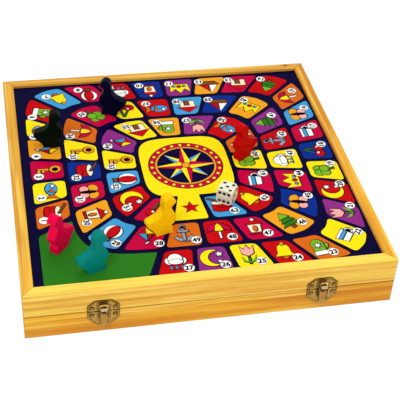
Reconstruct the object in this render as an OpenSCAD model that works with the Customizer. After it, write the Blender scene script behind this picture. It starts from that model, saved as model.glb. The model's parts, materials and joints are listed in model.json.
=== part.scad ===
// Folding wooden game case. Two equal trays of mitred pine rails are hinged along the back
// and held shut by two draw latches at the front. Each tray's outer face is a playing board,
// sunk a little below its rim. Six goose-shaped playing pieces and a die stand on the lid.
// Millimetres, front towards -Y, +Z up. The origin is at the middle of the underside.

/* [Box] */
// Width of the case, left to right
box_w = 340; // [300:5:420]
// Depth of the case, front to back
box_d = 340; // [300:5:420]
// Height of one tray, from its board rim to the seam
half_h = 25.5; // [22:0.5:40]
// Gap between the two trays when the case is shut
seam_gap = 0.5; // [0.2:0.1:1.5]
// Thickness of the wooden rails
rail_t = 11; // [9:0.5:16]
// Rounding of the long outer edge round a board
edge_r = 1.2; // [0.5:0.1:2.5]
// Rounding of the rim's inner edge
lip_r = 0.6; // [0.2:0.1:1.2]
// Rounding of the edges along the seam
seam_r = 0.5; // [0.2:0.1:1]
// Rounding of the four upright corners
corner_r = 1.5; // [0.5:0.1:4]

/* [Boards] */
// How far a board's printed face lies below its rim
board_recess = 3; // [1.5:0.5:5]
// Thickness of a plywood board
board_t = 4; // [3:0.5:6]
// Thickness of the varnished print on a board
print_t = 0.3; // [0.2:0.1:0.6]
// Depth of the rails' grooves that hold a board
groove_depth = 5; // [3:0.5:7]
// Room between a board's edge and the bottom of its groove
groove_end_gap = 0.5; // [0.2:0.1:1]
// Room between a board's inner face and its groove
groove_face_gap = 0.1; // [0.05:0.05:0.3]

/* [Storage] */
// Depth of the storage trough along the back of the base
trough_d = 70; // [50:5:110]
// Width of the trough's middle bay
middle_bay_w = 120; // [80:5:180]
// Thickness of the divider slats
slat_t = 4; // [3:0.5:6]
// Drop from the seam to the top of the slats
slat_drop = 1.5; // [0.5:0.5:4]
// Depth of the housings in the rails that hold the slats' ends
rail_housing = 2; // [1:0.5:3]
// Depth of the housings in the long slat that hold the short slats
slat_housing = 1; // [0.5:0.25:1.25]
// Room round a slat's end in its housing
housing_gap = 0.1; // [0.05:0.05:0.3]

/* [Hinges] */
// Distance between the middles of the two hinges
hinge_spacing = 200; // [140:5:230]
// Length of a hinge along the back
hinge_w = 32; // [26:1:44]
// Height of one leaf, from the pin to its edge
leaf_h = 13; // [11:0.5:18]
// Thickness of a leaf
leaf_t = 1.2; // [0.8:0.1:1.6]
// Outer radius of a knuckle
knuckle_r = 2.6; // [2.2:0.1:3.2]
// Radius of the hinge pin
hinge_pin_r = 1.2; // [0.8:0.1:1.5]
// Gap between a knuckle and the wood behind it
knuckle_back_gap = 0.3; // [0.2:0.1:0.8]
// Gap between neighbouring knuckles
knuckle_side_gap = 0.2; // [0.1:0.05:0.4]
// Running clearance round the pin in the lid's knuckles
hinge_run = 0.05; // [0.02:0.01:0.1]
// Distance of a leaf's screws from the hinge's middle
leaf_screw_x = 10; // [7:0.5:11]
// Height of a leaf's screws from the pin
leaf_screw_z = 8.5; // [7:0.5:9]

/* [Latch plates] */
// Distance between the middles of the two latches
latch_spacing = 200; // [140:5:230]
// Width of both latch plates
plate_w = 28; // [26:0.5:34]
// Thickness of the stamped sheet
sheet_t = 0.7; // [0.5:0.05:0.8]
// Distance of each plate's edge from the middle of the seam
plate_seam_gap = 0.5; // [0.3:0.1:1]
// Height of the keeper plate's top edge above the seam
keeper_h = 12.5; // [11.5:0.5:15]
// Height of the keeper plate's straight sides
keeper_side_h = 6.5; // [4:0.5:8]
// Width of the keeper plate's top edge
keeper_top_w = 14; // [11:0.5:20]
// Depth of the base plate's lower edge below the seam
foot_h = 16.8; // [15:0.1:19]
// Depth of the base plate's straight sides
foot_side_h = 9; // [7:0.5:10]
// Width of the base plate's lower edge
foot_w = 12; // [9:0.5:18]
// Distance of the screws from a latch's middle
plate_screw_x = 10.4; // [9.5:0.1:11.5]
// Height of the keeper's screws above the seam
keeper_screw_z = 4.2; // [3.4:0.1:6]
// Depth of the base plate's screws below the seam
foot_screw_z = 4.4; // [3.4:0.1:6.5]
// Distance of the raised ribs from a latch's middle
rib_x = 6.5; // [6:0.1:6.8]
// Height of a raised rib over its plate
rib_rise = 0.7; // [0.4:0.1:1]
// Distance of the pressed border line from a plate's edge
border_in = 1.5; // [1.1:0.1:1.8]
// Width of the pressed border line
border_w = 0.5; // [0.3:0.1:0.8]
// Depth of the pressed border line
border_depth = 0.25; // [0.1:0.05:0.3]

/* [Latch lever] */
// Distance of the lever's pin from the wood
lever_pin_out = 2.4; // [2.3:0.1:3]
// Depth of the lever's pin below the seam
lever_pin_drop = 1.3; // [1.2:0.1:2]
// Distance from the lever's pin to the loop's pin
crank = 4; // [3.6:0.1:4.4]
// Radius of both pins
pin_r = 0.6; // [0.4:0.05:0.7]
// Running clearance round the pins
pin_run = 0.05; // [0.02:0.01:0.1]
// Depth of the lever's tip below the seam
tip_drop = 14.7; // [13:0.1:17]
// Half width of the lever's finger end
tip_half_w = 3.3; // [2.6:0.1:3.6]
// How far the finger end curls out
tip_curl = 0.7; // [0.2:0.1:1.2]
// Number of pressed ribs on the lever
lever_rib_count = 3; // [2:1:4]

/* [Latch loop] */
// Width of the loop
loop_w = 9; // [8.6:0.2:10]
// Length of the loop, from its pin to the bar that the hook holds
loop_reach = 9.8; // [9.2:0.1:10.4]
// Height of the loop's bar
bar_h = 5.8; // [4:0.1:6.4]
// Half width of the window in the loop
window_half_w = 3.5; // [3.3:0.1:3.7]
// Rounding of the loop's upper corners
loop_corner_r = 3; // [1.5:0.1:4]
// Gap between the loop's bar and the hook that it pulls on
hook_seat_gap = 0.2; // [0.1:0.05:0.4]
// Gap between the loop's bar and the hook's lip
lip_gap = 1.4; // [1.3:0.1:1.8]
// Height of the hook's lip over its seat
lip_h = 3.4; // [2.6:0.1:3.6]
// Half width of the hook
hook_half_w = 2.9; // [2.2:0.1:3]
// Side clearance between the ears, the lever and the loop
side_gap = 0.2; // [0.15:0.05:0.3]

/* [Screws] */
// Radius of a screw's shank
screw_r = 0.9; // [0.7:0.1:1.1]
// Length of a screw's shank in the wood
screw_len = 7; // [5:0.5:8]
// Radius of a screw's head
head_r = 2.2; // [1.7:0.1:2.3]
// Height of a screw's domed head
head_h = 1; // [0.6:0.1:1.2]
// Clearance round a shank in the wood and in its plate
screw_gap = 0.05; // [0.02:0.01:0.1]

/* [Playing pieces] */
// Height of a goose
goose_h = 41.2; // [34:0.2:46]
// Thickness of a goose
goose_t = 9; // [6:0.5:12]
// Edge length of the die
die_a = 16; // [12:0.5:18]
// Radius of a spot on the die
pip_r = 1.7; // [0.9:0.1:1.8]
// Depth of a spot on the die
pip_depth = 0.5; // [0.3:0.1:0.8]

/* [Hidden] */
$fn = 48;

// Colours of the real materials
pine = "#e8b85a";
ply = "#d9bd8c";
brass = "#a8935a";
navy = "#1c1450";

// The two trays
total_h = 2 * half_h + seam_gap;
seam_z = total_h / 2;
field_w = box_w - 2 * rail_t;
field_d = box_d - 2 * rail_t;
groove_h = print_t + board_t + groove_face_gap;
inner_z = board_recess + print_t + board_t;
play_z = total_h - board_recess;
// Cutters reach this far past what they cut
over = 1;

// Storage slats
slat_z = half_h - slat_drop;
long_slat_y = field_d / 2 - trough_d - slat_t / 2;
short_slat_x = middle_bay_w / 2 + slat_t / 2;

// Hinges
hinge_out = knuckle_r + knuckle_back_gap;
knuckle_count = 5;
knuckle_w = hinge_w / knuckle_count;
notch_h = knuckle_r + knuckle_back_gap;
pin_head_r = hinge_pin_r + 0.6;
pin_head_h = 0.6;

// Latches, as distance out from the wood and height over the seam
lever_pin = [lever_pin_out, -lever_pin_drop];
loop_pin = [lever_pin_out - 0.1, -lever_pin_drop - crank];
ear_r = pin_r + 0.6;
cheek_r = pin_r + 0.8;
leg_x = loop_w / 2 - sheet_t / 2;
cheek_x = leg_x - sheet_t - side_gap;
ear_x = cheek_x - sheet_t - side_gap;
web_in = lever_pin_out + ear_r + 0.3;
web_out = web_in + sheet_t;
web_top = -lever_pin_drop + 0.1;
roll_r = 0.45;
shoulder_z = loop_pin[1] - cheek_r - 1.2;
loop_out = web_out - 0.1;
loop_in = loop_out - sheet_t;
bar_z = loop_pin[1] + loop_reach;
loop_top = bar_z + bar_h;
frame_foot_z = loop_pin[1] + crank + cheek_r + 0.5;
leg_top_in = loop_in - 0.7;
seat_z = bar_z - hook_seat_gap;
bend_r = 1;
lip_in = loop_out + lip_gap;
rib_r = 1.1;

// Where the pieces stand, as shares of half the playing field, and their turn in degrees
yellow_place = [-0.23, -0.62, 16];
red_place = [0.4, 0.04, 216];
magenta_place = [-0.83, -0.68, 228];
teal_place = [-0.655, -0.885, 19];
blue_place = [-0.375, 0.63, 163];
green_place = [-0.8, 0.315, -5];
die_place = [0.206, -0.38, -34];

// What a quarter round of radius r takes off a corner at the origin
module corner_waste(r) {
    difference() {
        translate([-over, -over]) square(r + over);
        translate([r, r]) circle(r);
    }
}

// A rectangle about the origin with round corners
module round_plan(w, d, r) {
    square([w - 2 * r, d], center = true);
    square([w, d - 2 * r], center = true);
    for (sx = [-1, 1], sy = [-1, 1])
        translate([sx * (w / 2 - r), sy * (d / 2 - r)]) circle(r);
}

// Section of a rail: outer face at 0, board rim at 0, seam at half_h
module rail_section() {
    difference() {
        square([rail_t, half_h]);
        corner_waste(edge_r);
        translate([rail_t, 0]) rotate(90) corner_waste(lip_r);
        translate([0, half_h]) rotate(-90) corner_waste(seam_r);
        translate([rail_t, half_h]) rotate(180) corner_waste(seam_r);
        translate([rail_t - groove_depth, board_recess])
            square([groove_depth + over, groove_h]);
    }
}

// A rail with mitred ends. Sides 0 to 3 are front, right, back and left
module rail(side) {
    run = side % 2 == 0 ? box_w : box_d;
    depth = side % 2 == 0 ? box_d : box_w;
    rotate([0, 0, 90 * side]) intersection() {
        translate([-run / 2, -depth / 2, 0])
            rotate([90, 0, 90]) linear_extrude(run) rail_section();
        linear_extrude(half_h) round_plan(run, depth, corner_r);
        linear_extrude(half_h) translate([0, -depth / 2])
            polygon([[-run / 2, 0], [run / 2, 0],
                     [run / 2 - rail_t, rail_t], [-run / 2 + rail_t, rail_t]]);
    }
}

// Turns a tray over to make the lid
module lid_side() {
    translate([0, 0, total_h]) mirror([0, 0, 1]) children();
}

// A board or its print: z0 is its outer face, measured from the rim
module board(z0, t) {
    grip = groove_depth - groove_end_gap;
    translate([0, 0, z0]) linear_extrude(t)
        square([field_w + 2 * grip, field_d + 2 * grip], center = true);
}

// The long divider, or the space that it fills when grow is its clearance
module long_slat(grow) {
    top = grow > 0 ? half_h + over : slat_z;
    reach = field_w / 2 + rail_housing - housing_gap + grow;
    translate([-reach, long_slat_y - slat_t / 2 - grow, inner_z])
        cube([2 * reach, slat_t + 2 * grow, top - inner_z]);
}

// A short divider between the long one and the back rail, or the space that it fills
module short_slat(side, grow) {
    top = grow > 0 ? half_h + over : slat_z;
    y0 = long_slat_y + slat_t / 2 - slat_housing + housing_gap - grow;
    y1 = field_d / 2 + rail_housing - housing_gap + grow;
    translate([side * short_slat_x - slat_t / 2 - grow, y0, inner_z])
        cube([slat_t + 2 * grow, y1 - y0, top - inner_z]);
}

// Places on the front and the back of the case, at the middle of the seam
module at_front(x) { translate([x, -box_d / 2, seam_z]) children(); }
module at_back(x) { translate([x, box_d / 2, seam_z]) children(); }

// An outline seen from the front, made t thick towards the front
module facing(t) { rotate([90, 0, 0]) linear_extrude(t) children(); }
// An outline of distance out and height, w wide about the latch's middle
module edge_on(w) { rotate([90, 0, -90]) linear_extrude(w, center = true) children(); }
// The same for the back of the case
module edge_on_back(w) { rotate([90, 0, 90]) linear_extrude(w, center = true) children(); }

// Round-head wood screw along +Z, with the sheet's face at 0 and plate thickness t
module screw(t) {
    dome_r = (head_r * head_r + head_h * head_h) / (2 * head_h);
    slot_w = 0.5;
    difference() {
        union() {
            translate([0, 0, -screw_len]) cylinder(r = screw_r, h = screw_len + t + head_h / 2);
            intersection() {
                translate([0, 0, t + head_h - dome_r]) sphere(dome_r);
                translate([0, 0, t]) cylinder(r = head_r, h = head_h);
            }
        }
        for (turn = [45, 135])
            translate([0, 0, t + head_h]) rotate(turn)
                cube([2 * head_r * 0.7, slot_w, head_h], center = true);
    }
}

// The hole that a screw goes through, from in the wood to past its plate
module screw_hole() {
    translate([0, 0, -screw_len - over / 2])
        cylinder(r = screw_r + screw_gap, h = screw_len + over / 2 + leaf_t + over);
}

// Where the screws sit, each with its head towards the outside
module keeper_screws_at() {
    for (s = [-1, 1]) translate([s * plate_screw_x, 0, keeper_screw_z])
        rotate([90, 0, 0]) children();
}
module foot_screws_at() {
    for (s = [-1, 1]) translate([s * plate_screw_x, 0, -foot_screw_z])
        rotate([90, 0, 0]) children();
}
module leaf_screws_at(up) {
    for (s = [-1, 1]) translate([s * leaf_screw_x, 0, up * leaf_screw_z])
        rotate([-90, 0, 0]) children();
}
module both(spacing) {
    for (s = [-1, 1]) translate([s * spacing / 2, 0, 0]) children();
}

// One leaf of a hinge. up is 1 for the lid's leaf and -1 for the base's
module hinge_leaf(up) {
    first = up > 0 ? 1 : 0;
    bore = up > 0 ? hinge_pin_r + hinge_run : hinge_pin_r;
    own_w = knuckle_w - knuckle_side_gap;
    difference() {
        union() {
            translate([-hinge_w / 2, 0, up > 0 ? notch_h : -leaf_h])
                cube([hinge_w, leaf_t, leaf_h - notch_h]);
            for (i = [first : 2 : knuckle_count - 1])
                translate([-hinge_w / 2 + (i + 0.5) * knuckle_w, 0, 0]) {
                    translate([-own_w / 2, 0, up > 0 ? 0 : -notch_h - 0.01])
                        cube([own_w, leaf_t, notch_h + 0.01]);
                    edge_on_back(own_w) translate([hinge_out, 0]) circle(knuckle_r);
                }
        }
        edge_on_back(hinge_w + over) translate([hinge_out, 0]) circle(bore);
        leaf_screws_at(up) screw_hole();
    }
}

module hinge_pin() {
    edge_on_back(hinge_w - knuckle_side_gap) translate([hinge_out, 0]) circle(hinge_pin_r);
    for (s = [-1, 1])
        translate([s * (hinge_w - knuckle_side_gap + pin_head_h) / 2, 0, 0])
            edge_on_back(pin_head_h) translate([hinge_out, 0]) circle(pin_head_r);
}

// A pressed rib on a latch plate, from z0 to z1
module plate_rib(z0, z1) {
    for (s = [-1, 1]) intersection() {
        translate([s * rib_x, -(sheet_t + rib_rise - rib_r), 0]) {
            translate([0, 0, z0]) cylinder(r = rib_r, h = z1 - z0);
            translate([0, 0, z0]) sphere(rib_r);
            translate([0, 0, z1]) sphere(rib_r);
        }
        translate([-plate_w / 2, -3 * rib_r, -foot_h]) cube([plate_w, 3 * rib_r, foot_h + keeper_h]);
    }
}

// The J-shaped hook, bent out of the keeper plate
module hook_outline() {
    bend = [lip_in - bend_r, seat_z + bend_r];
    translate([sheet_t / 2, seat_z - sheet_t]) square([bend[0] - sheet_t / 2, sheet_t]);
    polygon([[sheet_t / 2, seat_z - sheet_t - 2], [sheet_t / 2, seat_z - sheet_t / 2],
             [sheet_t + 1.6, seat_z - sheet_t / 2], [sheet_t + 1.6, seat_z - sheet_t]]);
    translate(bend) intersection() {
        difference() {
            circle(bend_r + sheet_t);
            circle(bend_r);
        }
        translate([0, -bend_r - sheet_t]) square(bend_r + sheet_t);
    }
    translate([lip_in, seat_z + bend_r]) square([sheet_t, lip_h - bend_r]);
    translate([lip_in + sheet_t / 2, seat_z + lip_h]) circle(sheet_t / 2);
}

// Outline of the keeper plate, drawn in by a margin on every side but the seam
module keeper_outline(margin) {
    side = plate_w / 2 - margin;
    shoulder = keeper_side_h - margin / 3;
    top = keeper_h - margin;
    half_top = keeper_top_w / 2 - margin / 3;
    polygon([[side, plate_seam_gap], [side, shoulder],
             [half_top + 1.5, top - 1], [half_top - 1.5, top],
             [-half_top + 1.5, top], [-half_top - 1.5, top - 1],
             [-side, shoulder], [-side, plate_seam_gap]]);
}

// Outline of the base's plate, drawn in by a margin on every side but the seam
module foot_outline(margin) {
    side = plate_w / 2 - margin;
    shoulder = -foot_side_h + margin / 3;
    foot = -foot_h + margin;
    half_foot = foot_w / 2 - margin / 3;
    polygon([[side, -plate_seam_gap], [side, shoulder],
             [half_foot + 1, foot + 0.8], [half_foot - 1, foot],
             [-half_foot + 1, foot], [-half_foot - 1, foot + 0.8],
             [-side, shoulder], [-side, -plate_seam_gap]]);
}

// Cuts the pressed border line into a plate's face
module border_line() {
    translate([0, -sheet_t + border_depth, 0]) facing(border_depth + over) difference() {
        children(0);
        children(1);
    }
}

module keeper_plate() {
    difference() {
        facing(sheet_t) keeper_outline(0);
        border_line() {
            keeper_outline(border_in);
            keeper_outline(border_in + border_w);
        }
        keeper_screws_at() screw_hole();
    }
    plate_rib(plate_seam_gap + 1.5, keeper_side_h + 2.2);
    edge_on(2 * hook_half_w) hook_outline();
}

// One of the two ears that carry the lever's pin
module ear_outline() {
    difference() {
        union() {
            translate(lever_pin) circle(ear_r);
            polygon([[sheet_t / 2, lever_pin[1] + ear_r / 2], [lever_pin[0], lever_pin[1] + ear_r],
                     [lever_pin[0], lever_pin[1] - ear_r], [sheet_t / 2, lever_pin[1] - 2 * ear_r]]);
        }
        translate(lever_pin) circle(pin_r);
    }
}

module latch_plate() {
    difference() {
        facing(sheet_t) foot_outline(0);
        border_line() {
            foot_outline(border_in);
            foot_outline(border_in + border_w);
        }
        foot_screws_at() screw_hole();
    }
    plate_rib(-foot_side_h - 0.5, -plate_seam_gap - 1.5);
    for (s = [-1, 1]) translate([s * ear_x, 0, 0]) edge_on(sheet_t) ear_outline();
}

module lever_pin_solid() {
    edge_on(2 * cheek_x + sheet_t) translate(lever_pin) circle(pin_r);
}

// A side cheek of the lever
module cheek_outline() {
    foot_z = -tip_drop + 3;
    difference() {
        union() {
            translate(lever_pin) circle(cheek_r);
            translate(loop_pin) circle(cheek_r);
            polygon([[lever_pin[0] - cheek_r, lever_pin[1]], [loop_pin[0] - cheek_r, loop_pin[1]],
                     [web_in - 0.8, foot_z], [web_in + 0.1, foot_z - 0.6],
                     [web_in + 0.1, lever_pin[1] - 0.2], [lever_pin[0], lever_pin[1] + cheek_r]]);
        }
        translate(lever_pin) circle(pin_r + pin_run);
        translate(loop_pin) circle(pin_r);
    }
}

// The lever's front sheet, seen edge on
module web_outline() {
    bend_z = -tip_drop + 3.5;
    polygon([[web_in, web_top], [web_out, web_top], [web_out, bend_z],
             [web_out + tip_curl, -tip_drop], [web_in + tip_curl, -tip_drop], [web_in, bend_z]]);
    translate([web_out - roll_r, web_top]) circle(roll_r);
}

// The lever's front sheet, seen from the front
module lever_front_outline() {
    neck = cheek_x + sheet_t / 2;
    shoulder = loop_w / 2 - 0.2;
    polygon([[-neck, 0], [neck, 0], [neck, shoulder_z + 0.8], [shoulder, shoulder_z],
             [tip_half_w + 0.3, -tip_drop + tip_half_w], [-tip_half_w - 0.3, -tip_drop + tip_half_w],
             [-shoulder, shoulder_z], [-neck, shoulder_z + 0.8]]);
    translate([0, -tip_drop + tip_half_w]) intersection() {
        circle(tip_half_w + 0.3);
        translate([-loop_w, -tip_half_w]) square([2 * loop_w, tip_half_w + over]);
    }
}

module latch_lever() {
    rib_pitch = 2 * tip_half_w / (lever_rib_count + 1);
    for (s = [-1, 1]) translate([s * cheek_x, 0, 0]) edge_on(sheet_t) cheek_outline();
    intersection() {
        union() {
            edge_on(loop_w) web_outline();
            for (i = [1 : lever_rib_count])
                translate([-tip_half_w + i * rib_pitch, -web_out + 0.15, -tip_drop + 4])
                    cylinder(r = 0.4, h = tip_drop - 6.5);
        }
        facing(web_out + tip_curl + over) lever_front_outline();
    }
}

module loop_pin_solid() {
    edge_on(loop_w) translate(loop_pin) circle(pin_r);
}

// A leg of the loop
module leg_outline() {
    leg_top = loop_top - loop_corner_r;
    difference() {
        union() {
            translate(loop_pin) circle(cheek_r);
            polygon([[loop_pin[0] - cheek_r, loop_pin[1]], [loop_pin[0] + cheek_r, loop_pin[1]],
                     [loop_out, frame_foot_z], [loop_out, leg_top], [leg_top_in, leg_top]]);
        }
        translate(loop_pin) circle(pin_r + pin_run);
    }
}

// The loop's front frame, with its window open at the foot
module loop_front_outline() {
    difference() {
        union() {
            translate([-loop_w / 2, frame_foot_z])
                square([loop_w, loop_top - loop_corner_r - frame_foot_z]);
            translate([-loop_w / 2 + loop_corner_r, frame_foot_z])
                square([loop_w - 2 * loop_corner_r, loop_top - frame_foot_z]);
            for (s = [-1, 1])
                translate([s * (loop_w / 2 - loop_corner_r), loop_top - loop_corner_r])
                    circle(loop_corner_r);
        }
        translate([-window_half_w, frame_foot_z - over])
            square([2 * window_half_w, bar_z - frame_foot_z + over]);
    }
}

module latch_loop() {
    crease_w = 0.7;
    crease_h = bar_h - lip_h + 1;
    for (s = [-1, 1]) translate([s * leg_x, 0, 0]) edge_on(sheet_t) leg_outline();
    difference() {
        translate([0, -loop_in, 0]) facing(sheet_t) loop_front_outline();
        translate([-crease_w / 2, -loop_out - over, loop_top - crease_h])
            cube([crease_w, over + sheet_t / 2, crease_h + over]);
    }
}

// Side view of a goose, drawn 41.2 high: breast and head are circles
module goose_outline() {
    scale(goose_h / 41.2) {
        polygon([[-7.5, 0], [9, 0], [9, 6], [7, 8.5], [6, 12], [-4, 14], [-7.5, 4]]);
        translate([2.8, 17.2]) circle(9);
        polygon([[9.4, 23.2], [6.9, 27], [6.3, 29.6], [7, 32.4], [-0.5, 33], [-0.9, 28],
                 [-1.8, 24.6], [-4.6, 21.6]]);
        translate([4.8, 36]) circle(5.2);
        polygon([[7.2, 32], [10.8, 34.8], [11, 36.6], [7.4, 40.5]]);
        polygon([[-0.4, 36], [-0.8, 30], [5, 30], [5, 36]]);
        polygon([[-1.8, 24.6], [-4.6, 21.8], [-9, 19.6], [-15.8, 17], [-16.8, 13.8], [-7.5, 3],
                 [-2, 8], [0, 20]]);
    }
}

module goose(place, colour) {
    translate([place[0] * field_w / 2, place[1] * field_d / 2, play_z])
        rotate([0, 0, place[2]]) color(colour)
            rotate([90, 0, 0]) linear_extrude(goose_t, center = true) goose_outline();
}

// Spots of a die face as steps from its middle
function spots(n) = concat(
    n % 2 == 1 ? [[0, 0]] : [],
    n > 1 ? [[-1, -1], [1, 1]] : [],
    n > 3 ? [[-1, 1], [1, -1]] : [],
    n == 6 ? [[0, 1], [0, -1]] : []);

module spot_cutters(n) {
    step = die_a * 0.285;
    ball = (pip_r * pip_r + pip_depth * pip_depth) / (2 * pip_depth);
    for (p = spots(n))
        translate([p[0] * step, p[1] * step, die_a / 2 + ball - pip_depth]) sphere(ball);
}

module die_solid() {
    difference() {
        intersection() {
            cube(die_a, center = true);
            sphere(die_a * 0.765);
        }
        spot_cutters(5);
        rotate([180, 0, 0]) spot_cutters(2);
        rotate([90, 0, 0]) spot_cutters(6);
        rotate([-90, 0, 0]) spot_cutters(1);
        rotate([90, 0, 90]) spot_cutters(3);
        rotate([90, 0, -90]) spot_cutters(4);
    }
}

// Base tray
module base_front_rail() {
    color(pine) difference() {
        rail(0);
        both(latch_spacing) at_front(0) foot_screws_at() screw_hole();
    }
}
module base_back_rail() {
    color(pine) difference() {
        rail(2);
        both(hinge_spacing) at_back(0) leaf_screws_at(-1) screw_hole();
        for (s = [-1, 1]) short_slat(s, housing_gap);
    }
}
module base_left_rail() {
    color(pine) difference() {
        rail(3);
        long_slat(housing_gap);
    }
}
module base_right_rail() {
    color(pine) difference() {
        rail(1);
        long_slat(housing_gap);
    }
}
module ludo_board_panel() { color(ply) board(board_recess + print_t, board_t); }
module ludo_board_print() { color("white") board(board_recess, print_t); }
module long_divider() {
    color(ply) difference() {
        long_slat(0);
        for (s = [-1, 1]) short_slat(s, housing_gap);
    }
}
module left_cross_divider() { color(ply) short_slat(-1, 0); }
module right_cross_divider() { color(ply) short_slat(1, 0); }

// Lid tray
module lid_front_rail() {
    color(pine) difference() {
        lid_side() rail(0);
        both(latch_spacing) at_front(0) keeper_screws_at() screw_hole();
    }
}
module lid_back_rail() {
    color(pine) difference() {
        lid_side() rail(2);
        both(hinge_spacing) at_back(0) leaf_screws_at(1) screw_hole();
    }
}
module lid_left_rail() { color(pine) lid_side() rail(3); }
module lid_right_rail() { color(pine) lid_side() rail(1); }
module goose_board_panel() { color(ply) lid_side() board(board_recess + print_t, board_t); }
module goose_board_print() { color(navy) lid_side() board(board_recess, print_t); }

// Hinges and latches, one for each side: -1 is left and 1 is right
module base_leaf(s) { color(brass) at_back(s * hinge_spacing / 2) hinge_leaf(-1); }
module lid_leaf(s) { color(brass) at_back(s * hinge_spacing / 2) hinge_leaf(1); }
module pin_of_hinge(s) { color(brass) at_back(s * hinge_spacing / 2) hinge_pin(); }
module leaf_screws(s, up) {
    color(brass) at_back(s * hinge_spacing / 2) leaf_screws_at(up) screw(leaf_t);
}
module foot_of_latch(s) { color(brass) at_front(s * latch_spacing / 2) latch_plate(); }
module keeper_of_latch(s) { color(brass) at_front(s * latch_spacing / 2) keeper_plate(); }
module foot_screws(s) {
    color(brass) at_front(s * latch_spacing / 2) foot_screws_at() screw(sheet_t);
}
module keeper_screws(s) {
    color(brass) at_front(s * latch_spacing / 2) keeper_screws_at() screw(sheet_t);
}
module pin_of_lever(s) { color(brass) at_front(s * latch_spacing / 2) lever_pin_solid(); }
module lever_of_latch(s) { color(brass) at_front(s * latch_spacing / 2) latch_lever(); }
module pin_of_loop(s) { color(brass) at_front(s * latch_spacing / 2) loop_pin_solid(); }
module loop_of_latch(s) { color(brass) at_front(s * latch_spacing / 2) latch_loop(); }

module die() {
    translate([die_place[0] * field_w / 2, die_place[1] * field_d / 2, play_z + die_a / 2])
        rotate([0, 0, die_place[2]]) color("ivory") die_solid();
}

base_front_rail();
base_back_rail();
base_left_rail();
base_right_rail();
ludo_board_panel();
ludo_board_print();
long_divider();
left_cross_divider();
right_cross_divider();
lid_front_rail();
lid_back_rail();
lid_left_rail();
lid_right_rail();
goose_board_panel();
goose_board_print();
base_leaf(-1);  // left_hinge_base_leaf
base_leaf(1);  // right_hinge_base_leaf
lid_leaf(-1);  // left_hinge_lid_leaf
lid_leaf(1);  // right_hinge_lid_leaf
pin_of_hinge(-1);  // left_hinge_pin
pin_of_hinge(1);  // right_hinge_pin
leaf_screws(-1, -1);  // left_hinge_base_screws
leaf_screws(1, -1);  // right_hinge_base_screws
leaf_screws(-1, 1);  // left_hinge_lid_screws
leaf_screws(1, 1);  // right_hinge_lid_screws
foot_of_latch(-1);  // left_latch_plate
foot_of_latch(1);  // right_latch_plate
keeper_of_latch(-1);  // left_latch_keeper
keeper_of_latch(1);  // right_latch_keeper
foot_screws(-1);  // left_latch_screws
foot_screws(1);  // right_latch_screws
keeper_screws(-1);  // left_keeper_screws
keeper_screws(1);  // right_keeper_screws
pin_of_lever(-1);  // left_lever_pin
pin_of_lever(1);  // right_lever_pin
lever_of_latch(-1);  // left_latch_lever
lever_of_latch(1);  // right_latch_lever
pin_of_loop(-1);  // left_loop_pin
pin_of_loop(1);  // right_loop_pin
loop_of_latch(-1);  // left_latch_loop
loop_of_latch(1);  // right_latch_loop
goose(yellow_place, "gold");  // yellow_goose
goose(red_place, "firebrick");  // red_goose
goose(magenta_place, "crimson");  // magenta_goose
goose(teal_place, "teal");  // teal_goose
goose(blue_place, "midnightblue");  // blue_goose
goose(green_place, "darkgreen");  // green_goose
die();
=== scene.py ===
# %% [markdown]
# # A folding wooden game case, finished in Blender
#
# The real object is a square pine case. Two trays are hinged along the back and held shut
# by two brass draw latches. The outer face of each tray is a printed playing board, sunk
# a little below its rim. Six flat wooden geese and a die stand on the lid.
#
# The solid parts come from a measured model that is already in metres. This script never
# moves them. It adds what makes them look real: wood, print, brass, lacquer and light.

# %% Load the measured model
import json
import math
import random
from bisect import bisect
from collections import Counter

import bmesh
import bpy
from mathutils import Matrix, Vector

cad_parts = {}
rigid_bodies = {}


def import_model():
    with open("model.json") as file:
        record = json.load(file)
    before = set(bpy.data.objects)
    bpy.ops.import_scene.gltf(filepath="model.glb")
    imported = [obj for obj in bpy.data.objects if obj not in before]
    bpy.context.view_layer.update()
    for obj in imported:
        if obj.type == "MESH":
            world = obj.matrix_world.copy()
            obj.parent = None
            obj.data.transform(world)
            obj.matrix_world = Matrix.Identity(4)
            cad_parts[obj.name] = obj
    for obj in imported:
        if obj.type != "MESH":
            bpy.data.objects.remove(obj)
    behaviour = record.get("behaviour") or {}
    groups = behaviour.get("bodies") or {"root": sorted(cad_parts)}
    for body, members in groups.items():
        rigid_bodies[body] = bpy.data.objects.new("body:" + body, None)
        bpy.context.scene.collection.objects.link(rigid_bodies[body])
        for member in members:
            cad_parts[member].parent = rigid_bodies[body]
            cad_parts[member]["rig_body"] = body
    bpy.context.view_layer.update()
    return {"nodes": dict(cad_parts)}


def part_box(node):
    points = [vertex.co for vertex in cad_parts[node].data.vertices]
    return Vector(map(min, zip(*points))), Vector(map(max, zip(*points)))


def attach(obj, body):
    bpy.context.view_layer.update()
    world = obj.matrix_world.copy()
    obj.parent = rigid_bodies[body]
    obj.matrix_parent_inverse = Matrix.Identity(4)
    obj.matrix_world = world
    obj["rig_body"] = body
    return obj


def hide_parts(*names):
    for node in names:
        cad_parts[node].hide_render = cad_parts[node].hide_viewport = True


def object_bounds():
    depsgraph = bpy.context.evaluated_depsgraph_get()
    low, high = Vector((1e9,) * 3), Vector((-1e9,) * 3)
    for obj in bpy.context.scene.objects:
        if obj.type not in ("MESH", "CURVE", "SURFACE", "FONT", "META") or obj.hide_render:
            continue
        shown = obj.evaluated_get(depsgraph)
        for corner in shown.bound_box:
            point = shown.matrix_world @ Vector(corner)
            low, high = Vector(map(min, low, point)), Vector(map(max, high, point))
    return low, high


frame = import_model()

MM = 0.001
low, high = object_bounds()
print("the model measures", [round(side / MM, 1) for side in high - low], "mm")

# %% [markdown]
# ## The sizes that the looks depend on
#
# A finish has to know where the wood ends and the board starts. These heights could be
# typed in again, but then they would go stale when the model changes. Here they are read
# from the boxes of the model's own parts.

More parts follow.
